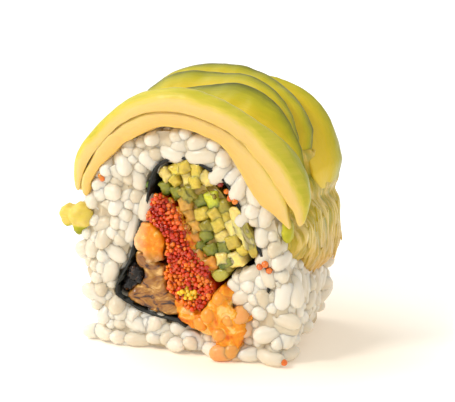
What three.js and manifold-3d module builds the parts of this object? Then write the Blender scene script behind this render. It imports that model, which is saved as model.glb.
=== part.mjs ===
// One piece of inside-out sushi roll, cut from a longer roll and laid on its side.
//
// The roll's axis runs along Y. The piece lies on the flat foot of its rice, which is at z = 0, and
// the origin is on that foot, below the middle of the roll. The cut face that is dressed with sauce
// looks along -Y, the other cut face along +Y. Sizes are in millimetres.
//
// From outside to inside: six avocado slices that overlap like roof tiles, the rice with its grains,
// a C of nori whose end is folded in beside a clump of rice, and the fillings, which all run through
// the piece from one cut face to the other.
import * as THREE from "three";
import { mergeVertices } from "three/addons/utils/BufferGeometryUtils.js";
import Module from "manifold-3d";

const wasm = await Module();
wasm.setup();

// Driving dimensions

const CORE_LENGTH = 28; // rice between its two cut faces, before the grains that stand proud
const FRONT = -CORE_LENGTH / 2;
const BACK = CORE_LENGTH / 2;
const CORE_STEPS = 5; // stretches of even taper along the core
const SLICE_GAP = 0.5; // below a slice
const GAP = 0.4; // between neighbours that touch
const FOOT_LEFT = -13; // ends of the flat foot
const FOOT_RIGHT = 14.5;

const GRAIN_LENGTH = 6.0;
const GRAIN_WIDTH = 3.0;
const GRAIN_STANDS_PROUD = 1.1;
const GRAIN_SPACING = 3.0;
const GRAIN_SIDES = 5;
const GRAINS_END_ON = 0.12; // share of the grains on a cut face that show their round end
const GRAIN_LEAN = 0.12; // most that another grain leans out of its cut face, in radians
const END_ON_LEAN = 1.3;
const GRAIN_SCALES = [0.88, 1.05];
const FACE_TRIES = 9000; // places tried for grains on each cut face
const FLANK_TRIES = 2500;
const FLANK_TOP = 26; // no grains on a flank above this height

const NORI_THICKNESS = 0.4;
const BATON = 2.2; // cucumber sticks are square
const BATON_LEAN = 0.55; // the rows of sticks lean this far from level, in radians
const BATON_ROWS = 12; // rows and columns on each side of the bundle's middle
const BUNDLE_MIDDLE = [4, 25];
const ROE_BEAD = 1.1; // diameter
const ROE_SPACING = 1.45; // in bead diameters
const ROE_TRIES = 1800;
const AVOCADO_END_THICKNESS = 1.5;
const AVOCADO_STEEPEST = 0.75; // rise of a slice over the one below it, for each millimetre of run

const SEED = 71;

// Points on each outline, as few as still show its shape.
const RICE_POINTS = 46;
const NORI_POINTS = 48;
const CUCUMBER_POINTS = 44;
const ROE_POINTS = 52;
const SAUCE_POINTS = 40;
const TONGUE_POINTS = 26;
const FILLING_POINTS = 28;
const FINE_POINTS = 200;
const STATION_EVERY = 5; // of the fine points, for the slices

// The rice, seen on the cut face: from the right end of the foot, over the top, to the left end.
const RICE_OUTLINE = [
  [FOOT_RIGHT, 0],
  [17.5, 2.2],
  [19.0, 8],
  [18.9, 14],
  [17.8, 21],
  [15.7, 27],
  [12.3, 32.2],
  [7.4, 36.8],
  [1.6, 39.2],
  [-4, 39.5],
  [-9.6, 37.7],
  [-14.6, 34.2],
  [-18, 29.5],
  [-19.3, 24],
  [-19.3, 17],
  [-18.5, 10],
  [-16.5, 4],
  [FOOT_LEFT, 0],
];

// The roll is no true prism. From the front cut face to the back one its top and its shoulders grow
// fuller, and its right side draws in near the foot.
const MIDDLE = [0, 20];
const TOP_GROWS = 1.3;
const TOP_GROWS_AT_BACK = 1.9;
const LEFT_SHOULDER_GROWS = 2.8;
const RIGHT_SHOULDER_GROWS = 3.4;
const SIDE_DRAWS_IN = 2.9;

// The nori's middle line: from its end at the bottom, round the left, over the top, to the end
// that is folded in at the right.
const NORI_PATH = [
  [0.2, 4.9],
  [-1.6, 5.9],
  [-4.8, 6.1],
  [-8, 6.9],
  [-11.2, 8.3],
  [-13.1, 9.4],
  [-12.9, 11.2],
  [-11.7, 13.4],
  [-10.3, 16],
  [-9.4, 19.3],
  [-8, 23],
  [-6.9, 26.5],
  [-6.3, 30],
  [-5.2, 32.7],
  [-3.2, 34.1],
  [-0.6, 34.8],
  [2.4, 34],
  [5.3, 32.7],
  [7.9, 30.8],
  [9.5, 28],
  [11.1, 24.3],
  [13.1, 20.9],
  [14.6, 18],
  [15.4, 15],
  [15.2, 12.2],
];

// The clump of rice inside the nori's folded end, and the rice under the sauce.
const CLUMP_EDGE = [
  [14.1, 16.6],
  [11.4, 16.1],
  [9.1, 15.7],
  [8.1, 14.3],
  [8.9, 12.6],
  [8.5, 10.9],
  [10.2, 9.3],
  [12.3, 8.5],
  [11.9, 6.4],
  [10.4, 4.4],
  [7.6, 3.5],
  [4.6, 3.6],
  [1.8, 4.0],
];

const CUCUMBER = [
  [-4.6, 31],
  [-3.1, 32.5],
  [-0.5, 33.8],
  [2.2, 33],
  [4.4, 31.9],
  [6.8, 30.1],
  [8.4, 27.7],
  [10, 24.2],
  [12, 20.9],
  [11.7, 18.9],
  [10.3, 17.2],
  [7, 16.5],
  [4.9, 17.3],
  [3.1, 18.9],
  [1.4, 20.7],
  [0.8, 22.8],
  [-0.1, 25],
  [-1.4, 27.1],
  [-4.2, 28.8],
];
const ROE = [
  [-5.7, 26.8],
  [-5.2, 28.2],
  [-4.5, 28],
  [-2.3, 26.4],
  [-1, 24.4],
  [-0.1, 22.4],
  [0.5, 20.2],
  [2.3, 18.2],
  [4, 16.8],
  [4.9, 16],
  [4.2, 14.4],
  [5.5, 13],
  [5.6, 12],
  [4.3, 9.9],
  [3.1, 8.4],
  [1.2, 8],
  [-0.7, 9],
  [-2.3, 10.4],
  [-3.2, 12.2],
  [-3.5, 14.4],
  [-2.9, 16.2],
  [-3.6, 17.6],
  [-3, 19.5],
  [-4, 21.5],
  [-5.4, 23],
  [-6.9, 23.5],
];
const PRAWN = [
  [-8.3, 21.2],
  [-7.3, 22.6],
  [-5.8, 22.3],
  [-4.8, 21.1],
  [-3.8, 19.4],
  [-4.5, 17.8],
  [-4.5, 16.6],
  [-6.7, 16.4],
  [-7.2, 17.9],
  [-8.6, 18.3],
  [-8.8, 19.6],
];
const EEL = [
  [-8.9, 17.5],
  [-7.7, 17.2],
  [-7.1, 15.9],
  [-5.2, 15.8],
  [-4.3, 15.1],
  [-4.2, 13],
  [-3.9, 11.5],
  [-2.8, 9.7],
  [-1.4, 8.3],
  [-1.5, 7.1],
  [-4.6, 7],
  [-8, 7.8],
  [-10.7, 9],
  [-10.9, 9.8],
  [-9.3, 10.6],
  [-8, 12.2],
  [-7.6, 13.9],
  [-8.9, 15.4],
  [-9.2, 16.4],
];
const EEL_SKIN = [
  [-12.3, 9.9],
  [-12.1, 11],
  [-10.9, 13.2],
  [-9.7, 15.3],
  [-8.3, 13.8],
  [-8.6, 12.4],
  [-9.8, 11.1],
  [-11.4, 10.3],
];
const SAUCE = [
  [6.4, 12.7],
  [7.4, 13.3],
  [8.1, 12.4],
  [7.8, 10.8],
  [9.6, 8.8],
  [11.5, 8],
  [11.2, 6.8],
  [10, 5.1],
  [7.4, 4.2],
  [4.6, 4.3],
  [2.2, 4.7],
  [0.9, 5.4],
  [-0.3, 6.6],
  [-0.8, 7.9],
  [1.1, 7.4],
  [3.5, 7.7],
  [4.9, 9.5],
  [6.2, 11.7],
];
const CUCUMBER_STRIP = [
  [5, 14.8],
  [6, 15.7],
  [7.5, 15.8],
  [7.6, 14.7],
  [6.7, 13.8],
  [6, 13.6],
];

// How far each filling stands out of the rice's front and back cut faces.
const FILLINGS = [
  { name: "prawn_meat", outline: PRAWN, front: 0.9, back: 0.4, color: 0xf2b46a, roughness: 0.4 },
  { name: "eel_fillet", outline: EEL, front: 0.1, back: 0.5, color: 0x8c6a35, roughness: 0.35 },
  { name: "eel_skin", outline: EEL_SKIN, front: -0.3, back: 0.2, color: 0x17130f, roughness: 0.2 },
  {
    name: "cucumber_strip",
    outline: CUCUMBER_STRIP,
    front: 0.3,
    back: 0.6,
    color: 0x6d8f3a,
    roughness: 0.35,
  },
];

// The tongue of sauce that runs down the front cut face to the foot.
const TONGUE_THICKNESS = 1.5;
const TONGUE = [
  [5, 10.2],
  [7.2, 11.2],
  [9.2, 9.4],
  [11, 8],
  [11.4, 5.8],
  [10.9, 3.2],
  [10.1, 0.9],
  [8.6, 0.4],
  [7.2, 0.9],
  [6.4, 2.6],
  [6.2, 4.4],
  [4.4, 5.6],
  [3.8, 7.4],
];

// Slices of avocado from the front cut face to the back one. Each has the place of its front edge
// and of its rim, along Y, at the left foot, the top and the right shoulder, the height of its
// right and left ends, its thickness, and how much thicker it is on the left and right shoulders.
const SLICES = [
  { front: [-15.4, -15.4, -15.3], rim: [-11.8, -11.6, -13.6], right: 22.5, left: 26, thick: 3.0, fuller: [0, 0] },
  { front: [-15.2, -15.7, -15.6], rim: [-10.6, -9.2, -11.6], right: 22.6, left: 30.5, thick: 3.0, fuller: [0, 0] },
  { front: [-10.5, -9.9, -12.4], rim: [-3.8, 0, -5.6], right: 25.8, left: 28.5, thick: 2.1, fuller: [0.5, 0] },
  { front: [-7.2, -2.6, -8.4], rim: [1.6, 6.8, -1.0], right: 28.5, left: 29, thick: 2.4, fuller: [0.8, 0.4] },
  { front: [-2.6, 3.4, -4.4], rim: [7.2, 12.4, 4.6], right: 28.8, left: 27, thick: 2.3, fuller: [0.8, 0.6] },
  { front: [3.2, 8.4, 1.4], rim: [14.4, 15.3, 14.6], right: 25.4, left: 26, thick: 2.8, fuller: [1.2, 1.8] },
];

// The crushed slice that clings to the right flank below the whole ones: its place along Y, with
// the height of its lower and its upper edge there. It hangs nearly straight down, off the rice.
const MASH_THICKNESS = 1.4;
const MASH_REACH = 20.4;
const MASH_EDGES = [
  [-12.8, 20, 21.6],
  [-8.4, 17, 22.8],
  [-5.2, 14.8, 24.2],
  [-2.4, 13.4, 26.4],
  [-0.2, 12.9, 24.9],
  [5, 12.4, 24.3],
  [9.5, 12.3, 24.2],
  [14.2, 14.4, 24],
];

// The scrap of avocado beside the left end of the slices.
const SCRAP = { x: -22.7, y: -13.0, z: 22.6, width: 3.8, height: 4.4, depth: 3.6 };

// Small helpers

// A repeatable random number from 0 to 1.
function seeded(seed) {
  let state = seed;
  return () => {
    state = (state + 0x6d2b79f5) | 0;
    let t = Math.imul(state ^ (state >>> 15), 1 | state);
    t = (t + Math.imul(t ^ (t >>> 7), 61 | t)) ^ t;
    return ((t ^ (t >>> 14)) >>> 0) / 4294967296;
  };
}

function mix(a, b, t) {
  return a + (b - a) * t;
}

function smooth(t) {
  const c = Math.min(1, Math.max(0, t));
  return c * c * (3 - 2 * c);
}

// Points of a smooth curve through (x, z) pairs, evenly spaced along it.
function curveThrough(pairs, count, closed = false) {
  const curve = new THREE.CatmullRomCurve3(
    pairs.map(([x, z]) => new THREE.Vector3(x, 0, z)),
    closed,
    "centripetal",
  );
  const points = curve.getSpacedPoints(closed ? count : count - 1);
  if (closed) points.pop();
  return points.map((p) => new THREE.Vector2(p.x, p.z));
}

// The line moved sideways by distance, to the left of its own direction.
function offsetLine(points, distance) {
  return points.map((p, i) => {
    const before = points[Math.max(0, i - 1)];
    const after = points[Math.min(points.length - 1, i + 1)];
    const along = after.clone().sub(before).normalize();
    return new THREE.Vector2(p.x - along.y * distance, p.y + along.x * distance);
  });
}

function isInside(p, polygon) {
  let inside = false;
  for (let i = 0, j = polygon.length - 1; i < polygon.length; j = i, i += 1) {
    const a = polygon[i];
    const b = polygon[j];
    const crosses = a.y > p.y !== b.y > p.y;
    if (crosses && p.x < ((b.x - a.x) * (p.y - a.y)) / (b.y - a.y) + a.x) inside = !inside;
  }
  return inside;
}

function distanceTo(p, polygon) {
  let least = Infinity;
  polygon.forEach((a, i) => {
    const b = polygon[(i + 1) % polygon.length];
    const along = b.clone().sub(a);
    const t = Math.min(1, Math.max(0, p.clone().sub(a).dot(along) / along.lengthSq()));
    least = Math.min(least, p.distanceTo(a.clone().addScaledVector(along, t)));
  });
  return least;
}

// The share of the way, from 0 to 1, between two of the core's steps along Y. What grows up to the
// back cut face goes on growing past it, for the slices that overhang there.
function ramp(y, fromStep, toStep) {
  const step = ((y - FRONT) / CORE_LENGTH) * CORE_STEPS;
  const share = Math.max(0, (step - fromStep) / (toStep - fromStep));
  return toStep === CORE_STEPS ? share : Math.min(1, share);
}

// Where a point of the rice's outline lies at a distance y along the roll.
function swell(p, y) {
  const top = TOP_GROWS * ramp(y, 1, 3) + TOP_GROWS_AT_BACK * ramp(y, 4, 5);
  const left = mix(top, LEFT_SHOULDER_GROWS * ramp(y, 2, 4), smooth((-p.x - 2) / 8));
  const isUp = smooth((p.y - MIDDLE[1]) / 9);
  const grown = mix(left, RIGHT_SHOULDER_GROWS * ramp(y, 0, 4), smooth((p.x - 2) / 12)) * isUp;
  const outwards = new THREE.Vector2(p.x - MIDDLE[0], p.y - MIDDLE[1]).normalize();
  const isLow = 1 - smooth((p.y - 10) / 9);
  const drawnIn = SIDE_DRAWS_IN * ramp(y, 2, 5) * isLow * smooth(p.x / 12);
  return new THREE.Vector2(p.x + outwards.x * grown - drawnIn, p.y + outwards.y * grown);
}

// A prism along Y of a closed outline on the cut face, with an optional hole and softened ends.
function prism(outline, yFront, yBack, { hole = null, soften = 0, steps = 1 } = {}) {
  const shape = new THREE.Shape(outline);
  if (hole) shape.holes.push(new THREE.Path(hole));
  const geometry = new THREE.ExtrudeGeometry(shape, {
    depth: yBack - yFront - 2 * soften,
    steps,
    bevelEnabled: soften > 0,
    bevelThickness: soften,
    bevelSize: soften,
    bevelOffset: -soften,
    bevelSegments: 1,
  });
  geometry.rotateX(Math.PI / 2);
  geometry.translate(0, yBack - soften, 0);
  return geometry;
}

function solidOf(geometry) {
  const bare = geometry.clone();
  bare.deleteAttribute("normal");
  bare.deleteAttribute("uv");
  const merged = mergeVertices(bare, 1e-4);
  return new wasm.Manifold(
    new wasm.Mesh({
      numProp: 3,
      vertProperties: new Float32Array(merged.attributes.position.array),
      triVerts: new Uint32Array(merged.index.array),
    }),
  );
}

function geometryOf(solid) {
  const mesh = solid.getMesh();
  const geometry = new THREE.BufferGeometry();
  geometry.setAttribute("position", new THREE.BufferAttribute(new Float32Array(mesh.vertProperties), 3));
  geometry.setIndex(new THREE.BufferAttribute(new Uint32Array(mesh.triVerts), 1));
  geometry.computeVertexNormals();
  return geometry;
}

// The core with all the small pieces joined to it, less any scrap that ends up loose.
function fuse(core, pieces) {
  let whole = solidOf(core);
  pieces.forEach((piece) => {
    whole = whole.add(solidOf(piece));
  });
  const bodies = whole.decompose();
  const largest = bodies.reduce((a, b) => (a.volume() > b.volume() ? a : b));
  return geometryOf(largest);
}

const group = new THREE.Group();

function addPiece(name, geometry, color, roughness) {
  const material = new THREE.MeshStandardMaterial({ color, roughness, metalness: 0 });
  const mesh = new THREE.Mesh(geometry, material);
  mesh.name = name;
  group.add(mesh);
  return mesh;
}

// Rice

const riceOutline = curveThrough(RICE_OUTLINE, RICE_POINTS);
const outlineAt = (y) => riceOutline.map((p) => swell(p, y));
const tongueLine = curveThrough(TONGUE, TONGUE_POINTS, true);
const noriLine = curveThrough(NORI_PATH, NORI_POINTS);
const NORI_ROOM = NORI_THICKNESS / 2 + GAP;

// The hollow in the rice: outside the nori, round its folded end, then along the clump.
function riceHollow() {
  const outside = offsetLine(noriLine, NORI_ROOM);
  const end = noriLine[noriLine.length - 1];
  const turn = [
    new THREE.Vector2(end.x + NORI_ROOM * 0.7, end.y - NORI_ROOM),
    new THREE.Vector2(end.x - NORI_ROOM * 0.9, end.y - NORI_ROOM),
  ];
  const foldedIn = offsetLine(noriLine, -NORI_ROOM)
    .slice(-14)
    .reverse()
    .filter((p) => p.y < CLUMP_EDGE[0][1]);
  return [...outside, ...turn, ...foldedIn, ...CLUMP_EDGE.map(([x, z]) => new THREE.Vector2(x, z))];
}

// A rice grain along X: round in section, fullest in the middle, with two blunt ends.
function grainGeometry(length, width) {
  const profile = [
    [-0.5, 0],
    [-0.36, 0.38],
    [0.05, 0.5],
    [0.4, 0.32],
    [0.5, 0],
  ].map(([along, out]) => new THREE.Vector2(out * width, along * length));
  const geometry = new THREE.LatheGeometry(profile, GRAIN_SIDES);
  geometry.rotateZ(-Math.PI / 2);
  return geometry;
}

function grainAt(position, direction, scale, random) {
  const geometry = grainGeometry(GRAIN_LENGTH * scale, GRAIN_WIDTH * mix(0.94, 1.08, random()));
  geometry.rotateX(random() * Math.PI);
  const turn = new THREE.Quaternion().setFromUnitVectors(new THREE.Vector3(1, 0, 0), direction);
  geometry.applyQuaternion(turn);
  geometry.translate(position.x, position.y, position.z);
  return geometry;
}

// Grains on one cut face, spread evenly over the rice by rejecting any that lands too near another.
function faceGrains(y, hollow, random) {
  const grains = [];
  const centres = [];
  const outwards = Math.sign(y);
  const outlines = [outlineAt(y), outlineAt(y - outwards * GRAIN_LENGTH)];
  for (let tries = 0; tries < FACE_TRIES; tries += 1) {
    const at = new THREE.Vector2(mix(-20, 20, random()), mix(0, 40, random()));
    const angle = random() * Math.PI;
    const lean = random() < GRAINS_END_ON ? END_ON_LEAN : mix(-GRAIN_LEAN, GRAIN_LEAN, random());
    const scale = mix(...GRAIN_SCALES, random());
    const half = (GRAIN_LENGTH * scale) / 2;
    const flatHalf = half * Math.cos(lean);
    const reach = new THREE.Vector2(Math.cos(angle), Math.sin(angle)).multiplyScalar(flatHalf);
    const clear = [-1, -0.5, 0, 0.5, 1].every((t) => {
      const p = at.clone().addScaledVector(reach, t);
      const room = GRAIN_WIDTH * (0.54 - 0.32 * Math.abs(t)) + GAP / 2;
      const isRice = outlines.every((edge) => isInside(p, edge) && distanceTo(p, edge) > room);
      return isRice && !isInside(p, hollow) && distanceTo(p, hollow) > room;
    });
    const underSauce = outwards < 0 && isUnderTongue(at, reach);
    const tooNear = centres.some((c) => c.distanceTo(at) < GRAIN_SPACING);
    if (!clear || underSauce || tooNear) continue;
    centres.push(at);
    const fromTip = Math.max(Math.abs(Math.sin(lean)) * half, GRAIN_WIDTH / 2);
    const depth = GRAIN_STANDS_PROUD - fromTip;
    const direction = new THREE.Vector3(
      Math.cos(angle) * Math.cos(lean),
      Math.sin(lean),
      Math.sin(angle) * Math.cos(lean),
    );
    grains.push(grainAt(new THREE.Vector3(at.x, y + outwards * depth, at.y), direction, scale, random));
  }
  return grains;
}

function isUnderTongue(at, reach) {
  return [-1, -0.5, 0, 0.5, 1].some((t) => {
    const p = at.clone().addScaledVector(reach, t);
    return isInside(p, tongueLine) || distanceTo(p, tongueLine) < GRAIN_WIDTH * 0.5 + GAP;
  });
}

// How high the grains on a flank may reach: to the slices on the left, and to the crushed slice on
// the right.
function flankLimit(side, y) {
  if (side < 0) return Math.min(...SLICES.map((slice) => slice.left)) - 2;
  const next = MASH_EDGES.findIndex(([at]) => at > y);
  if (next < 1) return MASH_EDGES[0][1];
  const [fromY, from] = MASH_EDGES[next - 1];
  const [toY, to] = MASH_EDGES[next];
  return mix(from, to, (y - fromY) / (toY - fromY)) - GAP;
}

// Grains on the round outside of the rice, on the left or the right flank.
function flankGrains(side, random) {
  const grains = [];
  const centres = [];
  const flank = riceOutline.filter((p) => Math.sign(p.x) === side && p.y > 1 && p.y < FLANK_TOP);
  for (let tries = 0; tries < FLANK_TRIES; tries += 1) {
    const i = Math.min(flank.length - 2, Math.floor(random() * (flank.length - 1)));
    const y = mix(FRONT + 1.2, BACK - 1.2, random());
    const p = swell(flank[i].clone().lerp(flank[i + 1], random()), y);
    const slope = random() * Math.PI;
    const scale = mix(...GRAIN_SCALES, random());
    const tangent = flank[i + 1].clone().sub(flank[i]).normalize();
    const normal = new THREE.Vector2(tangent.y, -tangent.x);
    const at = new THREE.Vector3(p.x, y, p.y);
    const direction = new THREE.Vector3(
      tangent.x * Math.cos(slope),
      Math.sin(slope),
      tangent.y * Math.cos(slope),
    );
    const reachZ = Math.abs(direction.z) * GRAIN_LENGTH * 0.5 + GRAIN_WIDTH * 0.3;
    const reachY = Math.abs(direction.y) * GRAIN_LENGTH * 0.5;
    const limit = Math.min(flankLimit(side, y - reachY), flankLimit(side, y + reachY));
    const fits = p.y - reachZ > 0.3 && p.y + reachZ < limit && Math.abs(y) + reachY * 0.8 < BACK;
    const tooNear = centres.some((c) => c.distanceTo(at) < GRAIN_SPACING);
    if (!fits || tooNear) continue;
    centres.push(at.clone());
    const depth = GRAIN_STANDS_PROUD - GRAIN_WIDTH / 2;
    at.x += normal.x * depth;
    at.z += normal.y * depth;
    grains.push(grainAt(at, direction, scale, random));
  }
  return grains;
}

function rice() {
  const random = seeded(SEED);
  const hollow = riceHollow();
  const core = prism(riceOutline, FRONT, BACK, { hole: hollow, steps: CORE_STEPS });
  const position = core.attributes.position;
  for (let i = 0; i < position.count; i += 1) {
    const p = new THREE.Vector2(position.getX(i), position.getZ(i));
    if (distanceTo(p, riceOutline) < 0.01) {
      const moved = swell(p, position.getY(i));
      position.setXYZ(i, moved.x, position.getY(i), moved.y);
    }
  }
  const grains = [
    ...faceGrains(FRONT, hollow, random),
    ...faceGrains(BACK, hollow, random),
    ...flankGrains(-1, random),
    ...flankGrains(1, random),
  ];
  return fuse(core, grains);
}

// Nori

function nori() {
  const outer = offsetLine(noriLine, NORI_THICKNESS / 2);
  const inner = offsetLine(noriLine, -NORI_THICKNESS / 2).reverse();
  return prism([...outer, ...inner], FRONT - 0.4, BACK + 0.4);
}

// Fillings

// Square sticks side by side, their ends cut at slightly uneven lengths.
function cucumber() {
  const random = seeded(SEED + 1);
  const outline = curveThrough(CUCUMBER, CUCUMBER_POINTS, true);
  const sticks = [];
  for (let row = -BATON_ROWS; row <= BATON_ROWS; row += 1) {
    for (let column = -BATON_ROWS; column <= BATON_ROWS; column += 1) {
      const along = column * BATON + (row % 2) * BATON * 0.4;
      const up = row * BATON;
      const at = new THREE.Vector2(
        BUNDLE_MIDDLE[0] + along * Math.cos(BATON_LEAN) - up * Math.sin(BATON_LEAN),
        BUNDLE_MIDDLE[1] + along * Math.sin(BATON_LEAN) + up * Math.cos(BATON_LEAN),
      );
      const room = BATON * 0.62;
      if (!isInside(at, outline) || distanceTo(at, outline) < room) continue;
      const front = FRONT - mix(0.3, 1.3, random());
      const back = BACK + mix(0.2, 1.1, random());
      const stick = new THREE.BoxGeometry(BATON * 0.88, back - front, BATON * 0.88);
      stick.rotateY(-BATON_LEAN + mix(-0.15, 0.15, random()));
      stick.translate(at.x, (front + back) / 2, at.y);
      sticks.push(stick);
    }
  }
  return fuse(prism(outline, FRONT - 0.1, BACK), sticks);
}

// The roe's core with beads over both of its ends.
function roe() {
  const random = seeded(SEED + 2);
  const outline = curveThrough(ROE, ROE_POINTS, true);
  const beads = [];
  const centres = [];
  for (let tries = 0; tries < ROE_TRIES; tries += 1) {
    const at = new THREE.Vector2(mix(-8, 7, random()), mix(7, 29, random()));
    const isFront = random() < 0.5;
    const y = isFront ? FRONT - 0.35 : BACK + 0.35;
    const centre = new THREE.Vector3(at.x, y + mix(-0.15, 0.15, random()), at.y);
    const fits = isInside(at, outline) && distanceTo(at, outline) > ROE_BEAD / 2;
    if (!fits || centres.some((c) => c.distanceTo(centre) < ROE_BEAD * ROE_SPACING)) continue;
    centres.push(centre);
    const bead = new THREE.OctahedronGeometry(ROE_BEAD * 0.62, 0);
    bead.rotateY(random() * Math.PI);
    bead.translate(centre.x, centre.y, centre.z);
    beads.push(bead);
  }
  return fuse(prism(outline, FRONT - 0.1, BACK + 0.1), beads);
}

// The sauce fills its place among the fillings and runs down over the front cut face.
function sauce() {
  const body = prism(curveThrough(SAUCE, SAUCE_POINTS, true), FRONT - 1, BACK + 0.3, { soften: 0.25 });
  const tongue = prism(tongueLine, FRONT - GAP - TONGUE_THICKNESS, FRONT - GAP, { soften: 0.45 });
  return fuse(body, [tongue]);
}

// Avocado

// Height above the rice of the top of what already lies at a place, and of a slice that rides over
// it: it never rises faster than AVOCADO_STEEPEST.
function rideOver(topAt, y) {
  let height = 0;
  for (let away = -4; away <= 4; away += 0.5) {
    height = Math.max(height, topAt(y + away) - Math.abs(away) * AVOCADO_STEEPEST);
  }
  return height;
}

// The value of a slice's [left, top, right] triple at a share of the way from its left end.
function alongSlice([left, top, right], share) {
  return share < 0.5 ? mix(left, top, smooth(share * 2)) : mix(top, right, smooth(share * 2 - 1));
}

// The rice outline's points that carry the avocado: the arch from the left foot of the slices to
// the right one, and the right flank upwards.
const fineOutline = curveThrough(RICE_OUTLINE, FINE_POINTS);
const rightFlank = fineOutline.filter((p) => p.x > 0 && p.y > 8 && p.y < 32);
const archStations = fineOutline
  .filter((p) => p.y > 19)
  .reverse()
  .filter((p, i) => i % STATION_EVERY === 0);

function archNormal(i) {
  const before = archStations[Math.max(0, i - 1)];
  const after = archStations[Math.min(archStations.length - 1, i + 1)];
  const along = after.clone().sub(before).normalize();
  return new THREE.Vector2(-along.y, along.x);
}

// Thickness of a slice over its width: a wedge that is thin at the front edge and blunt at the rim.
// The two slices at the front cut face are thick there too, as the cut goes through them.
function sliceThickness(slice, across, share) {
  const ends = smooth(Math.min(share * 2.5, (1 - share) * 7));
  const isCut = slice.front[1] < FRONT;
  const shoulder = slice.fuller[share < 0.5 ? 0 : 1] * Math.sin(2 * Math.PI * share) ** 2;
  const body = mix(AVOCADO_END_THICKNESS, slice.thick + shoulder, ends);
  const wedge = isCut ? mix(0.7, 1, smooth(across * 4)) : mix(0.3, 1, Math.min(1, across * 1.5));
  return body * Math.min(wedge, mix(0.6, 1, smooth((1 - across) * 6)));
}

const ACROSS_STEPS = 5;

// One avocado slice as a closed grid: its underside follows what lies beneath it.
function avocadoSlice(index, lower) {
  const slice = SLICES[index];
  const first = archStations.findIndex((p) => p.x > 0 || p.y > slice.left);
  const last = archStations.findLastIndex((p) => p.x < 0 || p.y > slice.right);
  const rows = [];
  for (let i = first; i <= last; i += 1) {
    const share = (i - first) / (last - first);
    const front = alongSlice(slice.front, share);
    const rim = alongSlice(slice.rim, share);
    const row = [];
    for (let k = 0; k <= ACROSS_STEPS; k += 1) {
      const across = k / ACROSS_STEPS;
      const y = mix(front, rim, across);
      const bottom = rideOver((at) => lower(i, at), y) + SLICE_GAP;
      row.push({ y, bottom, top: bottom + sliceThickness(slice, across, share) });
    }
    rows.push(row);
  }
  return { first, last, rows };
}

function sliceTop(slice, i, y) {
  if (i < slice.first - 1 || i > slice.last + 1) return 0;
  const row = slice.rows[Math.min(slice.last, Math.max(slice.first, i)) - slice.first];
  if (y < row[0].y - GAP || y > row[ACROSS_STEPS].y + GAP) return 0;
  const k = row.findIndex((p) => p.y >= y);
  if (k < 0) return row[ACROSS_STEPS].top;
  if (k === 0) return row[0].top;
  const t = (y - row[k - 1].y) / (row[k].y - row[k - 1].y);
  return mix(row[k - 1].top, row[k].top, t);
}

// A closed surface from rows of points on top and on the underside.
function closedGrid(rows, place) {
  const across = rows[0].length;
  const positions = [];
  const index = [];
  const topAt = (i, k) => i * across + k;
  const bottomAt = (i, k) => rows.length * across + i * across + k;
  ["top", "bottom"].forEach((face) => {
    rows.forEach((row, i) => row.forEach((cell) => positions.push(...place(i, cell, cell[face]))));
  });
  const quad = (a, b, c, d) => index.push(a, b, c, a, c, d);
  for (let i = 0; i < rows.length - 1; i += 1) {
    for (let k = 0; k < across - 1; k += 1) {
      quad(topAt(i, k), topAt(i + 1, k), topAt(i + 1, k + 1), topAt(i, k + 1));
      quad(bottomAt(i, k), bottomAt(i, k + 1), bottomAt(i + 1, k + 1), bottomAt(i + 1, k));
    }
    quad(topAt(i, 0), bottomAt(i, 0), bottomAt(i + 1, 0), topAt(i + 1, 0));
    const rim = across - 1;
    quad(topAt(i, rim), topAt(i + 1, rim), bottomAt(i + 1, rim), bottomAt(i, rim));
  }
  const end = rows.length - 1;
  for (let k = 0; k < across - 1; k += 1) {
    quad(topAt(0, k), topAt(0, k + 1), bottomAt(0, k + 1), bottomAt(0, k));
    quad(topAt(end, k), bottomAt(end, k), bottomAt(end, k + 1), topAt(end, k + 1));
  }
  const geometry = new THREE.BufferGeometry();
  geometry.setAttribute("position", new THREE.BufferAttribute(new Float32Array(positions), 3));
  geometry.setIndex(index);
  geometry.computeVertexNormals();
  return geometry;
}

function placeOnArch(first) {
  return (row, cell, height) => {
    const normal = archNormal(first + row);
    const base = swell(archStations[first + row], cell.y);
    return [base.x + normal.x * height, cell.y, base.y + normal.y * height];
  };
}

// The slices are laid from the back one forwards, as each front slice lies over the one behind it.
// The frontmost one lies on the rice, and the second rides over it.
function avocado() {
  const order = [5, 4, 3, 2, 0, 1];
  const laid = [];
  order.forEach((index) => {
    const lower = (i, y) =>
      Math.max(0, ...laid.flatMap((s) => [-1, 0, 1].map((beside) => sliceTop(s, i + beside, y))));
    const slice = avocadoSlice(index, lower);
    laid.push(slice);
    slice.index = index;
  });
  laid.sort((a, b) => a.index - b.index);
  laid.forEach((slice) => {
    const geometry = closedGrid(slice.rows, placeOnArch(slice.first));
    addPiece(`avocado_slice_${slice.index + 1}`, geometry, 0xc9c94a, 0.35);
  });
}

// How far the right flank of the rice stands from the middle at a height.
function flankAt(y, height) {
  const flank = rightFlank.map((p) => swell(p, y));
  const above = flank.findIndex((p) => p.y >= height);
  const from = flank[above - 1];
  const to = flank[above];
  return mix(from.x, to.x, (height - from.y) / (to.y - from.y));
}

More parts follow.
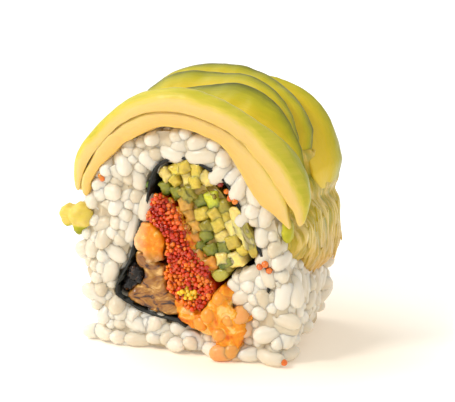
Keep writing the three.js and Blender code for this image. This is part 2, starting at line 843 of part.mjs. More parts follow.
// The crushed slice: a thin lumpy sheet on the right flank.
function mash() {
  const lengthwise = 14;
  const upwards = 7;
  const edges = curveThrough(MASH_EDGES.map(([y, low]) => [y, low]), lengthwise + 1);
  const upperEdges = curveThrough(MASH_EDGES.map(([y, , high]) => [y, high]), lengthwise + 1);
  const rows = edges.map((low, i) => {
    const row = [];
    for (let k = 0; k <= upwards; k += 1) {
      const up = k / upwards;
      const height = mix(low.y, upperEdges[i].y, up);
      const share = i / lengthwise;
      const edge = Math.min(1, up * 3 + 0.2, (1 - up) * 4 + 0.3, share * 5 + 0.2, (1 - share) * 5 + 0.2);
      const lumps = 0.4 * Math.sin(i * 1.9 + k * 1.3);
      const y = mix(low.x, upperEdges[i].x, up);
      const bottom = flankAt(y, height) + 1.5 * GAP;
      const outside = Math.max(bottom + MASH_THICKNESS, MASH_REACH) + lumps;
      row.push({ y, height, bottom, top: mix(bottom + 0.4, outside, smooth(edge)) });
    }
    return row;
  });
  return closedGrid(rows, (i, cell, x) => [x, cell.y, cell.height]);
}

function scrap() {
  const lump = new THREE.IcosahedronGeometry(1, 1);
  lump.scale(SCRAP.width / 2, SCRAP.depth / 2, SCRAP.height / 2);
  lump.translate(SCRAP.x, SCRAP.y, SCRAP.z);
  return lump;
}

// The object

addPiece("rice", rice(), 0xe9e4da, 0.35);
addPiece("nori", nori(), 0x12140f, 0.5);
addPiece("cucumber_sticks", cucumber(), 0xb9bf62, 0.3);
addPiece("flying_fish_roe", roe(), 0xd8401a, 0.15);
addPiece("spicy_sauce", sauce(), 0xf39a2b, 0.25);
FILLINGS.forEach(({ name, outline, front, back, color, roughness }) => {
  const line = curveThrough(outline, FILLING_POINTS, true);
  const geometry = prism(line, FRONT - front, BACK + back, { soften: 0.25 });
  addPiece(name, geometry, color, roughness);
});
avocado();
addPiece("crushed_avocado", mash(), 0xcdbd5c, 0.4);
addPiece("avocado_scrap", scrap(), 0xf0c25c, 0.4);

export default group;
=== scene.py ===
"""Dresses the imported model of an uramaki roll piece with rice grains, fanned avocado and its fillings."""

import math
import random

import bpy
import numpy as np
from bpy.props import FloatProperty, IntProperty, PointerProperty
from mathutils import Matrix, Vector, noise
from mathutils.bvhtree import BVHTree


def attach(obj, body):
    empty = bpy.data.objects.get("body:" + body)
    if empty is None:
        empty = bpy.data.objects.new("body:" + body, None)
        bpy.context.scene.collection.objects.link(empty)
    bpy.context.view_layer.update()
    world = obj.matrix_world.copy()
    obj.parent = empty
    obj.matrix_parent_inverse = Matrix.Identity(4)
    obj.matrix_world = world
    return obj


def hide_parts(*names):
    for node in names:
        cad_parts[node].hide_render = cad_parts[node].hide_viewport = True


bl_info = {
    "name": "Uramaki Roll Piece",
    "version": (1, 0, 0),
    "blender": (4, 5, 0),
    "location": "View3D > Sidebar > Uramaki",
    "description": "Models a piece of inside-out roll with its rice, avocado fan and fillings",
    "category": "Object",
}

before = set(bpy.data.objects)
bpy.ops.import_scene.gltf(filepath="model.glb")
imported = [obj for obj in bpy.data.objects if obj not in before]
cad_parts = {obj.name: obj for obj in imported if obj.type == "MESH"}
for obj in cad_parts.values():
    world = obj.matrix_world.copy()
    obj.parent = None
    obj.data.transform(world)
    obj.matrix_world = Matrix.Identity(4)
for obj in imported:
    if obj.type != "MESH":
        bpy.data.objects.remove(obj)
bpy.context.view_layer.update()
MM = 0.001
SEED = 71

# In metres: where grains on the cut face have their middles, a distance that is outside the roll, and the
# height of the middle of the slices' arch
FACE_Y = -0.0137
OUTSIDE = 0.04
ARCH_Z = 0.020

# Numbers of chance spots that grains and eggs are tried at, of ways that a grain is tried at each, of eggs
# in a dab of sauce and of threads on the crushed flesh
RICE_SPOTS = 16000
ROE_SPOTS = 12000
GRAIN_TRIALS = 12
SOAKED_BEADS = 17
THREADS = 40

# The least length of a grain on the cut face, as a share of the usual one, and the points along a grain's
# middle line, as shares of half its length
SHORTEST_GRAIN = 0.86
LINE_STEPS = np.array([-0.8, -0.4, 0.0, 0.4, 0.8])

# Sections that a slice is measured in
SECTIONS = 120

# The crushed flesh: columns and rows of points, and in mm its front, length, foot and height on the flank
MASH_COLUMNS = 92
MASH_ROWS = 72
MASH_FRONT = -12.6
MASH_LENGTH = 28.2
MASH_FOOT = 11.0
MASH_HEIGHT = 25.0

# In mm: the cucumber sticks' length, and where the cuts that lie on the face and the two kinds of sauce are
STICK_LENGTH = 28.4
LYING_Y = -13.4
DAB_Y = -13.9
SOAKED_Y = -13.1

# A Mix node repeats the names of its sockets for each type, so those for a share and for colours go by number
MIX_SHARE = 0
MIX_FIRST = 6
MIX_SECOND = 7
MIX_COLOUR = 2

# The camera: its distance in metres, its sensor in mm, and its focal length and the photo's width in pixels
CAMERA_DISTANCE = 0.243
SENSOR_WIDTH = 36.0
FOCAL_PIXELS = 1356
PHOTO_WIDTH = 455

FILLINGS = ("cucumber_sticks", "cucumber_strip", "flying_fish_roe", "prawn_meat", "eel_fillet", "eel_skin")
SLICES = tuple(f"avocado_slice_{i}" for i in range(1, 7))

# x, z, side and turn of each stick's cut end, and its colour by letter. Those with s and y have peel on them.
BATONS = (
    (-3.7, 31.5, 2.1, 38, "c"),
    (-1.8, 32.6, 2.1, 30, "p"),
    (0.1, 33.1, 2.1, 20, "p"),
    (2.1, 32.6, 2.1, 12, "p"),
    (4.0, 31.4, 2.2, 25, "c"),
    (-1.9, 30.5, 1.9, 40, "p"),
    (0.1, 31.1, 2.0, 12, "c"),
    (2.2, 30.7, 1.9, 8, "p"),
    (-3.6, 29.2, 2.0, 35, "s"),
    (-1.7, 28.5, 2.2, 32, "s"),
    (1.0, 28.9, 2.2, 20, "g"),
    (0.3, 26.7, 2.2, 15, "o"),
    (2.4, 27.2, 2.1, 35, "s"),
    (5.1, 27.6, 2.4, 25, "y"),
    (7.0, 26.5, 2.2, 35, "g"),
    (0.9, 25.0, 2.2, 30, "o"),
    (3.0, 25.2, 2.2, 20, "p"),
    (5.2, 25.3, 2.1, 28, "p"),
    (7.7, 25.2, 2.2, 30, "p"),
    (1.7, 22.9, 2.2, 28, "o"),
    (4.0, 23.2, 2.1, 35, "g"),
    (6.1, 23.6, 2.2, 30, "p"),
    (8.8, 23.1, 2.5, 25, "c"),
    (6.8, 21.5, 2.4, 30, "c"),
    (9.0, 20.7, 2.3, 25, "p"),
    (4.1, 21.3, 2.1, 40, "s"),
    (1.9, 20.9, 2.3, 30, "a"),
    (2.6, 19.4, 1.9, 35, "s"),
    (4.8, 19.0, 2.2, 30, "s"),
    (7.0, 19.5, 2.2, 12, "s"),
    (10.5, 19.6, 1.8, 30, "p"),
    (7.0, 17.6, 2.0, 15, "c"),
    (9.3, 17.8, 2.5, 10, "c"),
    (7.4, 15.9, 1.9, 30, "g"),
    (4.6, 16.9, 2.2, 20, "a"),
    (2.7, 17.6, 2.1, 30, "a"),
    (0.8, 18.4, 2.1, 30, "a"),
)

# Colours of the cut ends: pale, cream, green, by the skin, lime, amber from the sauce, and stained by the roe
BATON_COLOURS = {
    "p": "#D0B544",
    "c": "#E8CC72",
    "g": "#9A8C2A",
    "s": "#848426",
    "y": "#CBCB34",
    "a": "#D28A2C",
    "o": "#C4923A",
}

# The grains that the cut face is known by: x, z, half length, turn from upright, tilt out of the face and
# share of sauce stain
FACE_GRAINS = (
    (9.6, 14.4, 1.7, 10, 75, 0.05),
    (12.0, 15.2, 2.4, 60, 20, 0.0),
    (13.0, 12.9, 2.7, -15, 20, 0.0),
    (10.7, 11.4, 2.5, 65, 15, 0.05),
    (12.6, 9.7, 2.4, 80, 30, 0.1),
    (12.6, 6.8, 1.8, 0, 80, 0.15),
    (11.4, 3.6, 1.6, 0, 80, 0.2),
    (14.2, 4.2, 2.3, 50, 40, 0.0),
    (4.7, 3.4, 1.8, 70, 60, 0.15),
    (8.8, 7.8, 1.5, 20, 70, 0.95),
    (5.4, 8.2, 1.8, 50, 50, 1.0),
    (2.6, 6.4, 1.9, -60, 40, 1.0),
    (10.4, 8.4, 1.6, 10, 60, 0.85),
    (7.6, 4.8, 1.8, 80, 50, 0.95),
    (7.0, 11.0, 1.7, 30, 60, 1.0),
    (9.4, 2.4, 1.8, 40, 50, 0.9),
    (15.0, 15.6, 2.2, -20, 15, 0.0),
    (14.4, 18.8, 1.8, 20, 20, 0.0),
    (-9.0, 30.6, 2.5, -25, 10, 0.0),
    (-2.4, 35.2, 2.7, -80, 10, 0.0),
    (3.0, 35.1, 3.0, 85, 5, 0.0),
    (6.6, 32.6, 2.9, 50, 12, 0.0),
    (9.8, 30.2, 2.6, 25, 10, 0.0),
    (12.4, 29.4, 2.6, -20, 15, 0.0),
    (10.7, 25.6, 2.8, 28, 15, 0.0),
    (14.6, 26.2, 2.7, 15, 15, 0.0),
    (13.9, 22.6, 2.6, 5, 20, 0.0),
    (-13.2, 18.7, 1.7, 0, 78, 0.0),
    (-10.4, 21.6, 2.9, 8, 10, 0.0),
    (-7.4, 25.4, 2.7, 8, 10, 0.0),
    (-10.0, 3.2, 1.8, 0, 75, 0.0),
    (-4.6, 3.4, 2.4, 70, 20, 0.0),
    (1.2, 2.4, 2.8, -75, 10, 0.0),
    (11.2, 6.0, 1.8, 40, 60, 0.45),
    (6.2, 3.6, 2.0, 60, 50, 0.5),
    (7.6, 1.5, 2.2, 85, 20, 0.8),
    (10.4, 1.6, 2.2, 75, 30, 0.3),
)

# x, y, height of the middle and turn from the Y axis of the grains along the foot of the cut face
FOOT_GRAINS = (
    (-18.0, -12.2, 1.4, 50),
    (-16.2, -13.2, 1.6, 125),
    (-12.4, -13.2, 1.4, 25),
    (-9.0, -13.5, 1.3, 65),
    (-5.2, -12.9, 2.3, 40),
    (-2.2, -13.8, 1.4, 130),
    (1.8, -13.3, 1.9, 30),
    (5.2, -13.9, 1.3, 110),
    (12.4, -13.7, 1.4, 55),
    (15.8, -14.2, 1.3, 100),
    (17.6, -11.8, 1.4, 35),
)

# x, z and radius of the sauce that has soaked in between the roe and the cucumber
SOAKED_SAUCE = (
    (-3.0, 26.4, 0.9),
    (-1.6, 24.6, 1.1),
    (-0.6, 22.6, 1.1),
    (0.4, 20.6, 1.1),
    (1.4, 18.8, 1.3),
    (2.8, 17.4, 1.2),
    (4.4, 16.2, 1.1),
    (5.6, 15.0, 0.9),
)

# x, z and radius of the dabs that the sauce has spread in on the cut face
SAUCE_BLOBS = (
    (-1.2, 8.4, 1.3),
    (0.8, 6.9, 1.9),
    (3.2, 6.3, 2.1),
    (6.0, 7.4, 2.4),
    (7.0, 10.6, 2.1),
    (8.3, 12.2, 1.0),
    (9.6, 7.4, 2.0),
    (11.4, 8.2, 1.1),
    (8.6, 4.0, 2.3),
    (8.9, 1.6, 1.9),
    (10.6, 5.6, 1.3),
    (5.2, 9.4, 1.5),
)

# y, least z and greatest z of the crushed flesh on the right flank, in mm
MASH_BORDER = (
    (-12.0, 20.5, 30.0),
    (-10.0, 19.5, 32.0),
    (-8.0, 18.5, 33.0),
    (-6.0, 17.5, 34.0),
    (-3.0, 15.5, 34.0),
    (0.0, 14.0, 33.5),
    (4.0, 13.2, 32.5),
    (8.0, 12.8, 30.5),
    (12.0, 12.4, 28.5),
    (16.0, 12.0, 26.5),
)

# Layers of grains from the outside in: least distance between middles, least distance between middle lines
# and depth, in mm
GRAIN_LAYERS = (
    (1.6, 2.0, 0.0),
    (1.4, 1.45, 0.25),
    (1.3, 1.1, 0.4),
    (1.1, 0.95, 0.5),
)

# x1, z1, x2, z2, width and colour of the cucumber cuts that lie along the cut face
LYING_CUTS = (
    (8.8, 26.9, 12.3, 20.0, 2.3, "c"),
    (10.7, 24.6, 13.0, 18.6, 1.7, "p"),
    (6.6, 16.3, 9.0, 17.9, 1.5, "s"),
    (-0.8, 29.4, 1.4, 27.3, 1.5, "g"),
)

# x, z and colour of loose bits on the cut face
LOOSE_BITS = (
    (7.5, 29.4, "#E8802A"),
    (8.2, 28.3, "#DA641C"),
    (9.3, 28.0, "#E8802A"),
    (6.4, 30.6, "#8E2414"),
    (3.7, 29.0, "#D86E26"),
    (14.8, 17.7, "#E47A2C"),
    (13.9, 17.2, "#D86E26"),
    (11.2, 16.9, "#D86E26"),
    (-15.5, 30.5, "#E8902A"),
    (-15.1, 30.1, "#E07A20"),
    (-7.2, 29.4, "#6E8A34"),
    (18.5, 1.0, "#D9701F"),
    (15.4, 16.6, "#E47A2C"),
)


def linear(code, alpha=1.0):
    """The linear colour of an sRGB hex code."""
    parts = [int(code[i : i + 2], 16) / 255 for i in (1, 3, 5)]
    turned = [c / 12.92 if c <= 0.04045 else ((c + 0.055) / 1.055) ** 2.4 for c in parts]
    return (*turned, alpha)


def flesh_of(code, strength=1.0):
    """A hex code's linear colour as an array of three, to store on vertices."""
    return np.array(linear(code)[:3]) * strength


def add_node(tree, kind, inputs=None, stops=None, **settings):
    """Adds a node with its settings, its ramp's stops, and its inputs from values or other sockets."""
    node = tree.nodes.new(kind)
    for name, value in settings.items():
        setattr(node, name, value)
    if stops:
        elements = node.color_ramp.elements
        while len(elements) < len(stops):
            elements.new(1.0)
        for element, (position, code) in zip(elements, stops):
            element.position = position
            element.color = linear(code) if isinstance(code, str) else (code, code, code, 1.0)
    for name, value in (inputs or {}).items():
        if isinstance(value, bpy.types.NodeSocket):
            tree.links.new(value, node.inputs[name])
        else:
            node.inputs[name].default_value = value
    return node


def new_material(name):
    """An empty node material and its tree."""
    material = bpy.data.materials.new(name)
    material.use_nodes = True
    material.node_tree.nodes.clear()
    return material, material.node_tree


# Steamed short-grain rice: a starchy gel with a wet skin, so light sinks in, the edges glow and the tops have
# soft highlights.
def rice_material():
    material, tree = new_material("steamed_rice")
    place = add_node(tree, "ShaderNodeTexCoord")
    tint = add_node(tree, "ShaderNodeAttribute", attribute_name="tint")
    stain = add_node(tree, "ShaderNodeAttribute", attribute_name="stain")
    mottle = add_node(
        tree,
        "ShaderNodeTexNoise",
        {"Vector": place.outputs["Object"], "Scale": 420.0, "Detail": 3.0, "Roughness": 0.6},
    )
    spread = add_node(
        tree,
        "ShaderNodeMath",
        {0: mottle.outputs["Fac"], 1: 0.35, 2: tint.outputs["Fac"]},
        operation="MULTIPLY_ADD",
    )
    # The ramp runs from tan to ivory. Its tan low end, given to sunken grains and to the bed between grains,
    # is painted shade in the gaps.
    shade = add_node(
        tree,
        "ShaderNodeValToRGB",
        {"Fac": spread.outputs[0]},
        stops=[(0.2, "#C9B592"), (0.5, "#DDD0B7"), (0.9, "#ECE3D2")],
    )
    dyed = add_node(
        tree,
        "ShaderNodeMix",
        {MIX_SHARE: stain.outputs["Fac"], MIX_FIRST: shade.outputs["Color"], MIX_SECOND: linear("#F09A30")},
        data_type="RGBA",
    )
    bump = add_node(
        tree,
        "ShaderNodeBump",
        {"Height": mottle.outputs["Fac"], "Strength": 0.12, "Distance": 0.0002},
    )
    skin = add_node(
        tree,
        "ShaderNodeBsdfPrincipled",
        {
            "Base Color": dyed.outputs[MIX_COLOUR],
            "Roughness": 0.32,
            "IOR": 1.38,
            "Subsurface Weight": 0.6,
            "Subsurface Radius": (1.0, 0.86, 0.7),
            "Subsurface Scale": 0.0014,
            "Coat Weight": 0.15,
            "Coat Roughness": 0.15,
            "Normal": bump.outputs["Normal"],
        },
    )
    add_node(tree, "ShaderNodeOutputMaterial", {"Surface": skin.outputs["BSDF"]})
    return material


# Damp nori: a pressed seaweed sheet, black-green, crinkled, with a dull satin shine where it is wet.
def nori_material():
    material, tree = new_material("damp_nori")
    place = add_node(tree, "ShaderNodeTexCoord")
    crinkle = add_node(
        tree,
        "ShaderNodeTexNoise",
        {"Vector": place.outputs["Object"], "Scale": 900.0, "Detail": 4.0, "Roughness": 0.7},
    )
    shade = add_node(
        tree,
        "ShaderNodeValToRGB",
        {"Fac": crinkle.outputs["Fac"]},
        stops=[(0.3, "#0B0C08"), (0.7, "#1E2013")],
    )
    bump = add_node(
        tree,
        "ShaderNodeBump",
        {"Height": crinkle.outputs["Fac"], "Strength": 0.6, "Distance": 0.0003},
    )
    skin = add_node(
        tree,
        "ShaderNodeBsdfPrincipled",
        {
            "Base Color": shade.outputs["Color"],
            "Roughness": 0.38,
            "IOR": 1.45,
            "Normal": bump.outputs["Normal"],
        },
    )
    add_node(tree, "ShaderNodeOutputMaterial", {"Surface": skin.outputs["BSDF"]})
    return material


# Cut cucumber: wet watery flesh with fine cells, pale in the middle of each cut end and edged by dark skin
# where the peel is left, so it is glassy and bright. Each stick is also darker on its sides and towards its
# rim, which is painted shade between the sticks.
def cucumber_material():
    material, tree = new_material("cut_cucumber")
    place = add_node(tree, "ShaderNodeTexCoord")
    flesh = add_node(tree, "ShaderNodeAttribute", attribute_name="flesh")
    peel = add_node(tree, "ShaderNodeAttribute", attribute_name="peel")
    edge = add_node(tree, "ShaderNodeAttribute", attribute_name="edge")
    # Paler in the middle of each cut end and darker on the stick's sides and rim: painted shade between the
    # sticks.
    painted_side_shade = add_node(
        tree,
        "ShaderNodeMapRange",
        {"Value": edge.outputs["Fac"], "From Min": 0.5, "From Max": 1.0, "To Min": 1.1, "To Max": 0.8},
    )
    cells = add_node(
        tree,
        "ShaderNodeTexNoise",
        {"Vector": place.outputs["Object"], "Scale": 1300.0, "Detail": 3.0, "Roughness": 0.65},
    )
    shade = add_node(
        tree,
        "ShaderNodeValToRGB",
        {"Fac": cells.outputs["Fac"]},
        stops=[(0.3, 0.8), (0.72, 1.1)],
    )
    mottled = add_node(
        tree,
        "ShaderNodeMix",
        {MIX_SHARE: 1.0, MIX_FIRST: flesh.outputs["Vector"], MIX_SECOND: shade.outputs["Color"]},
        data_type="RGBA",
        blend_type="MULTIPLY",
    )
    shaded = add_node(
        tree,
        "ShaderNodeVectorMath",
        {0: mottled.outputs[MIX_COLOUR], "Scale": painted_side_shade.outputs["Result"]},
        operation="SCALE",
    )
    peeled = add_node(
        tree,
        "ShaderNodeMix",
        {MIX_SHARE: peel.outputs["Fac"], MIX_FIRST: shaded.outputs[0], MIX_SECOND: linear("#3B5A22")},
        data_type="RGBA",
    )
    bump = add_node(
        tree,
        "ShaderNodeBump",
        {"Height": cells.outputs["Fac"], "Strength": 0.35, "Distance": 0.0003},
    )
    skin = add_node(
        tree,
        "ShaderNodeBsdfPrincipled",
        {
            "Base Color": peeled.outputs[MIX_COLOUR],
            "Roughness": 0.24,
            "IOR": 1.36,
            "Subsurface Weight": 0.7,
            "Subsurface Radius": (1.0, 0.85, 0.3),
            "Subsurface Scale": 0.0013,
            "Coat Weight": 0.3,
            "Coat Roughness": 0.1,
            "Normal": bump.outputs["Normal"],
        },
    )
    add_node(tree, "ShaderNodeOutputMaterial", {"Surface": skin.outputs["BSDF"]})
    return material


# Flying fish roe: tiny clear beads full of dyed liquid, dark where deep, glowing at the edge, each with a
# hard glint.
def roe_material():
    material, tree = new_material("flying_fish_roe")
    flesh = add_node(tree, "ShaderNodeAttribute", attribute_name="flesh")
    skin = add_node(
        tree,
        "ShaderNodeBsdfPrincipled",
        {
            "Base Color": flesh.outputs["Vector"],
            "Roughness": 0.06,
            "IOR": 1.36,
            "Subsurface Weight": 0.7,
            "Subsurface Radius": (1.0, 0.35, 0.12),
            "Subsurface Scale": 0.0012,
            "Coat Weight": 0.6,
            "Coat Roughness": 0.04,
        },
    )
    add_node(tree, "ShaderNodeOutputMaterial", {"Surface": skin.outputs["BSDF"]})
    return material


# Spicy mayonnaise: an oily emulsion, so it is opaque orange with a smooth gloss and paler where it is thin.
def sauce_material():
    material, tree = new_material("spicy_mayonnaise")
    place = add_node(tree, "ShaderNodeTexCoord")
    streak = add_node(
        tree,
        "ShaderNodeTexNoise",
        {
            "Vector": place.outputs["Object"],
            "Scale": 380.0,
            "Detail": 4.0,
            "Roughness": 0.6,
            "Distortion": 0.5,
        },
    )
    shade = add_node(
        tree,
        "ShaderNodeValToRGB",
        {"Fac": streak.outputs["Fac"]},
        stops=[(0.34, "#D2600E"), (0.44, "#E68410"), (0.54, "#EE9E20"), (0.62, "#F6C672")],
    )
    bump = add_node(
        tree,
        "ShaderNodeBump",
        {"Height": streak.outputs["Fac"], "Strength": 0.3, "Distance": 0.0005},
    )
    skin = add_node(
        tree,
        "ShaderNodeBsdfPrincipled",
        {
            "Base Color": shade.outputs["Color"],
            "Roughness": 0.16,
            "IOR": 1.42,
            "Specular IOR Level": 0.35,
            "Subsurface Weight": 0.45,
            "Subsurface Radius": (1.0, 0.45, 0.08),
            "Subsurface Scale": 0.001,
            "Coat Weight": 0.12,
            "Coat Roughness": 0.05,
            "Normal": bump.outputs["Normal"],
        },
    )
    add_node(tree, "ShaderNodeOutputMaterial", {"Surface": skin.outputs["BSDF"]})
    return material


# Cooked prawn meat: white muscle in short fibres, dyed orange, pale along its left edge and brown where it
# meets the eel below.
def prawn_material():
    material, tree = new_material("cooked_prawn")
    place = add_node(tree, "ShaderNodeTexCoord")
    patch = add_node(
        tree,
        "ShaderNodeTexNoise",
        {"Vector": place.outputs["Object"], "Scale": 430.0, "Detail": 5.0, "Roughness": 0.7},
    )
    shade = add_node(
        tree,
        "ShaderNodeValToRGB",
        {"Fac": patch.outputs["Fac"]},
        stops=[(0.34, "#F2C66E"), (0.4, "#EE9C1A"), (0.55, "#E47E02"), (0.64, "#F0A41E"), (0.72, "#F6D69A")],
    )
    parts = add_node(tree, "ShaderNodeSeparateXYZ", {"Vector": place.outputs["Object"]})
    outer = add_node(
        tree,
        "ShaderNodeMapRange",
        {"Value": parts.outputs["X"], "From Min": -0.0100, "From Max": -0.0064, "To Min": 1.0, "To Max": 0.0},
    )
    dyed = add_node(
        tree,
        "ShaderNodeMix",
        {
            MIX_SHARE: outer.outputs["Result"],
            MIX_FIRST: shade.outputs["Color"],
            MIX_SECOND: linear("#F0CFA0"),
        },
        data_type="RGBA",
    )
    lower = add_node(
        tree,
        "ShaderNodeMapRange",
        {"Value": parts.outputs["Z"], "From Min": 0.0160, "From Max": 0.0182, "To Min": 1.0, "To Max": 0.0},
    )
    flesh = add_node(
        tree,
        "ShaderNodeValToRGB",
        {"Fac": patch.outputs["Fac"]},
        stops=[(0.38, "#6A4420"), (0.5, "#A8814A"), (0.64, "#E2C494")],
    )
    lapped = add_node(
        tree,
        "ShaderNodeMix",
        {
            MIX_SHARE: lower.outputs["Result"],
            MIX_FIRST: dyed.outputs[MIX_COLOUR],
            MIX_SECOND: flesh.outputs["Color"],
        },
        data_type="RGBA",
    )
    bump = add_node(
        tree,
        "ShaderNodeBump",
        {"Height": patch.outputs["Fac"], "Strength": 0.5, "Distance": 0.0005},
    )
    skin = add_node(
        tree,
        "ShaderNodeBsdfPrincipled",
        {
            "Base Color": lapped.outputs[MIX_COLOUR],
            "Roughness": 0.3,
            "IOR": 1.4,
            "Subsurface Weight": 0.4,
            "Subsurface Radius": (1.0, 0.5, 0.2),
            "Subsurface Scale": 0.001,
            "Normal": bump.outputs["Normal"],
        },
    )
    add_node(tree, "ShaderNodeOutputMaterial", {"Surface": skin.outputs["BSDF"]})
    return material


# Glazed grilled eel: flesh in thin curved flakes with soy glaze in between, so brown lines run through a
# shiny fillet. Its palest flakes are partly paler flesh and partly painted highlight.
def eel_material():
    material, tree = new_material("glazed_eel")
    place = add_node(tree, "ShaderNodeTexCoord")
    flow = add_node(
        tree,
        "ShaderNodeMapping",
        {"Vector": place.outputs["Object"], "Rotation": (0.0, 0.5, 0.0), "Scale": (0.7, 0.5, 1.3)},
    )
    flakes = add_node(
        tree,
        "ShaderNodeTexNoise",
        {
            "Vector": flow.outputs["Vector"],
            "Scale": 420.0,
            "Detail": 3.0,
            "Roughness": 0.6,
            "Distortion": 1.1,
        },
    )
    # The pale top stop is partly paler flesh on the flakes and partly painted highlight.
    shade = add_node(
        tree,
        "ShaderNodeValToRGB",
        {"Fac": flakes.outputs["Fac"]},
        stops=[(0.38, "#3E200A"), (0.44, "#8A5418"), (0.56, "#B27C2C"), (0.66, "#E0B46A")],
    )
    bump = add_node(
        tree,
        "ShaderNodeBump",
        {"Height": flakes.outputs["Fac"], "Strength": 0.6, "Distance": 0.0006},
    )
    skin = add_node(
        tree,
        "ShaderNodeBsdfPrincipled",
        {
            "Base Color": shade.outputs["Color"],
            "Roughness": 0.26,
            "IOR": 1.45,
            "Subsurface Weight": 0.2,
            "Subsurface Radius": (1.0, 0.6, 0.3),
            "Subsurface Scale": 0.0008,
            "Coat Weight": 0.4,
            "Coat Roughness": 0.12,
            "Normal": bump.outputs["Normal"],
        },
    )
    add_node(tree, "ShaderNodeOutputMaterial", {"Surface": skin.outputs["BSDF"]})
    return material


# Eel skin under soy glaze: black, folded and very wet, so it shows as sharp glints on black. Brown flecks in
# its colour are partly glaze and partly painted glints.
def eel_skin_material():
    material, tree = new_material("glazed_eel_skin")
    place = add_node(tree, "ShaderNodeTexCoord")
    folds = add_node(
        tree,
        "ShaderNodeTexNoise",
        {
            "Vector": place.outputs["Object"],
            "Scale": 700.0,
            "Detail": 4.0,
            "Roughness": 0.6,
            "Distortion": 0.8,
        },
    )
    # Brown flecks in the black: partly soy glaze, partly painted glints.
    shade = add_node(
        tree,
        "ShaderNodeValToRGB",
        {"Fac": folds.outputs["Fac"]},
        stops=[(0.4, "#060402"), (0.56, "#1A1008"), (0.68, "#7A4A20")],
    )
    bump = add_node(
        tree,
        "ShaderNodeBump",
        {"Height": folds.outputs["Fac"], "Strength": 0.8, "Distance": 0.0008},
    )
    skin = add_node(
        tree,
        "ShaderNodeBsdfPrincipled",
        {
            "Base Color": shade.outputs["Color"],
            "Roughness": 0.14,
            "IOR": 1.36,
            "Coat Weight": 0.25,
            "Coat Roughness": 0.03,
            "Normal": bump.outputs["Normal"],
        },
    )
    add_node(tree, "ShaderNodeOutputMaterial", {"Surface": skin.outputs["BSDF"]})
    return material


# Ripe avocado: buttery flesh, cream by the stone and green by the peel, with a thin dark line at the rim that
# is partly the darkest flesh under the peel and partly painted shade under the rim, wet from the knife, and
# faint threads along the slice.
def avocado_material():
    material, tree = new_material("ripe_avocado")
    run = add_node(tree, "ShaderNodeAttribute", attribute_name="run")
    cream = add_node(tree, "ShaderNodeAttribute", attribute_name="cream")
    parts = add_node(tree, "ShaderNodeSeparateXYZ", {"Vector": run.outputs["Vector"]})
    stretch = add_node(
        tree,
        "ShaderNodeMapping",
        {"Vector": run.outputs["Vector"], "Scale": (0.06, 6.0, 0.3)},
    )
    threads = add_node(
        tree,
        "ShaderNodeTexNoise",
        {"Vector": stretch.outputs["Vector"], "Scale": 3.0, "Detail": 4.0, "Roughness": 0.6},
    )
    drift = add_node(
        tree,
        "ShaderNodeMath",
        {0: threads.outputs["Fac"], 1: 0.16, 2: -0.08},
        operation="MULTIPLY_ADD",
    )
    across = add_node(
        tree,
        "ShaderNodeMath",
        {0: parts.outputs["Y"], 1: drift.outputs[0]},
        operation="ADD",
    )
    # The last stops of both ramps darken to a thin line at the rim: partly the darkest flesh under the peel,
    # partly painted shade under the rim.
    green = add_node(
        tree,
        "ShaderNodeValToRGB",
        {"Fac": across.outputs[0]},
        stops=[
            (0.12, "#E4C23C"),
            (0.45, "#D8BA28"),
            (0.68, "#B8AC20"),
            (0.86, "#8E8C1E"),
            (0.95, "#6A6C1C"),
            (1.0, "#404416"),
        ],
    )
    pale = add_node(
        tree,
        "ShaderNodeValToRGB",
        {"Fac": across.outputs[0]},
        stops=[
            (0.05, "#E0B763"),
            (0.32, "#E4C47A"),
            (0.43, "#D8C24E"),
            (0.55, "#B2AE28"),
            (0.85, "#929420"),
            (0.99, "#5A5E20"),
        ],
    )
    shade = add_node(
        tree,
        "ShaderNodeMix",
        {
            MIX_SHARE: cream.outputs["Fac"],
            MIX_FIRST: green.outputs["Color"],
            MIX_SECOND: pale.outputs["Color"],
        },
        data_type="RGBA",
    )
    bump = add_node(
        tree,
        "ShaderNodeBump",
        {"Height": threads.outputs["Fac"], "Strength": 0.25, "Distance": 0.0004},
    )
    skin = add_node(
        tree,
        "ShaderNodeBsdfPrincipled",
        {
            "Base Color": shade.outputs[MIX_COLOUR],
            "Roughness": 0.32,
            "IOR": 1.4,
            "Specular IOR Level": 0.2,
            "Subsurface Weight": 0.35,
            "Subsurface Radius": (1.0, 0.8, 0.12),
            "Subsurface Scale": 0.0014,
            "Coat Weight": 0.06,
            "Coat Roughness": 0.12,
            "Normal": bump.outputs["Normal"],
        },
    )
    add_node(tree, "ShaderNodeOutputMaterial", {"Surface": skin.outputs["BSDF"]})
    return material


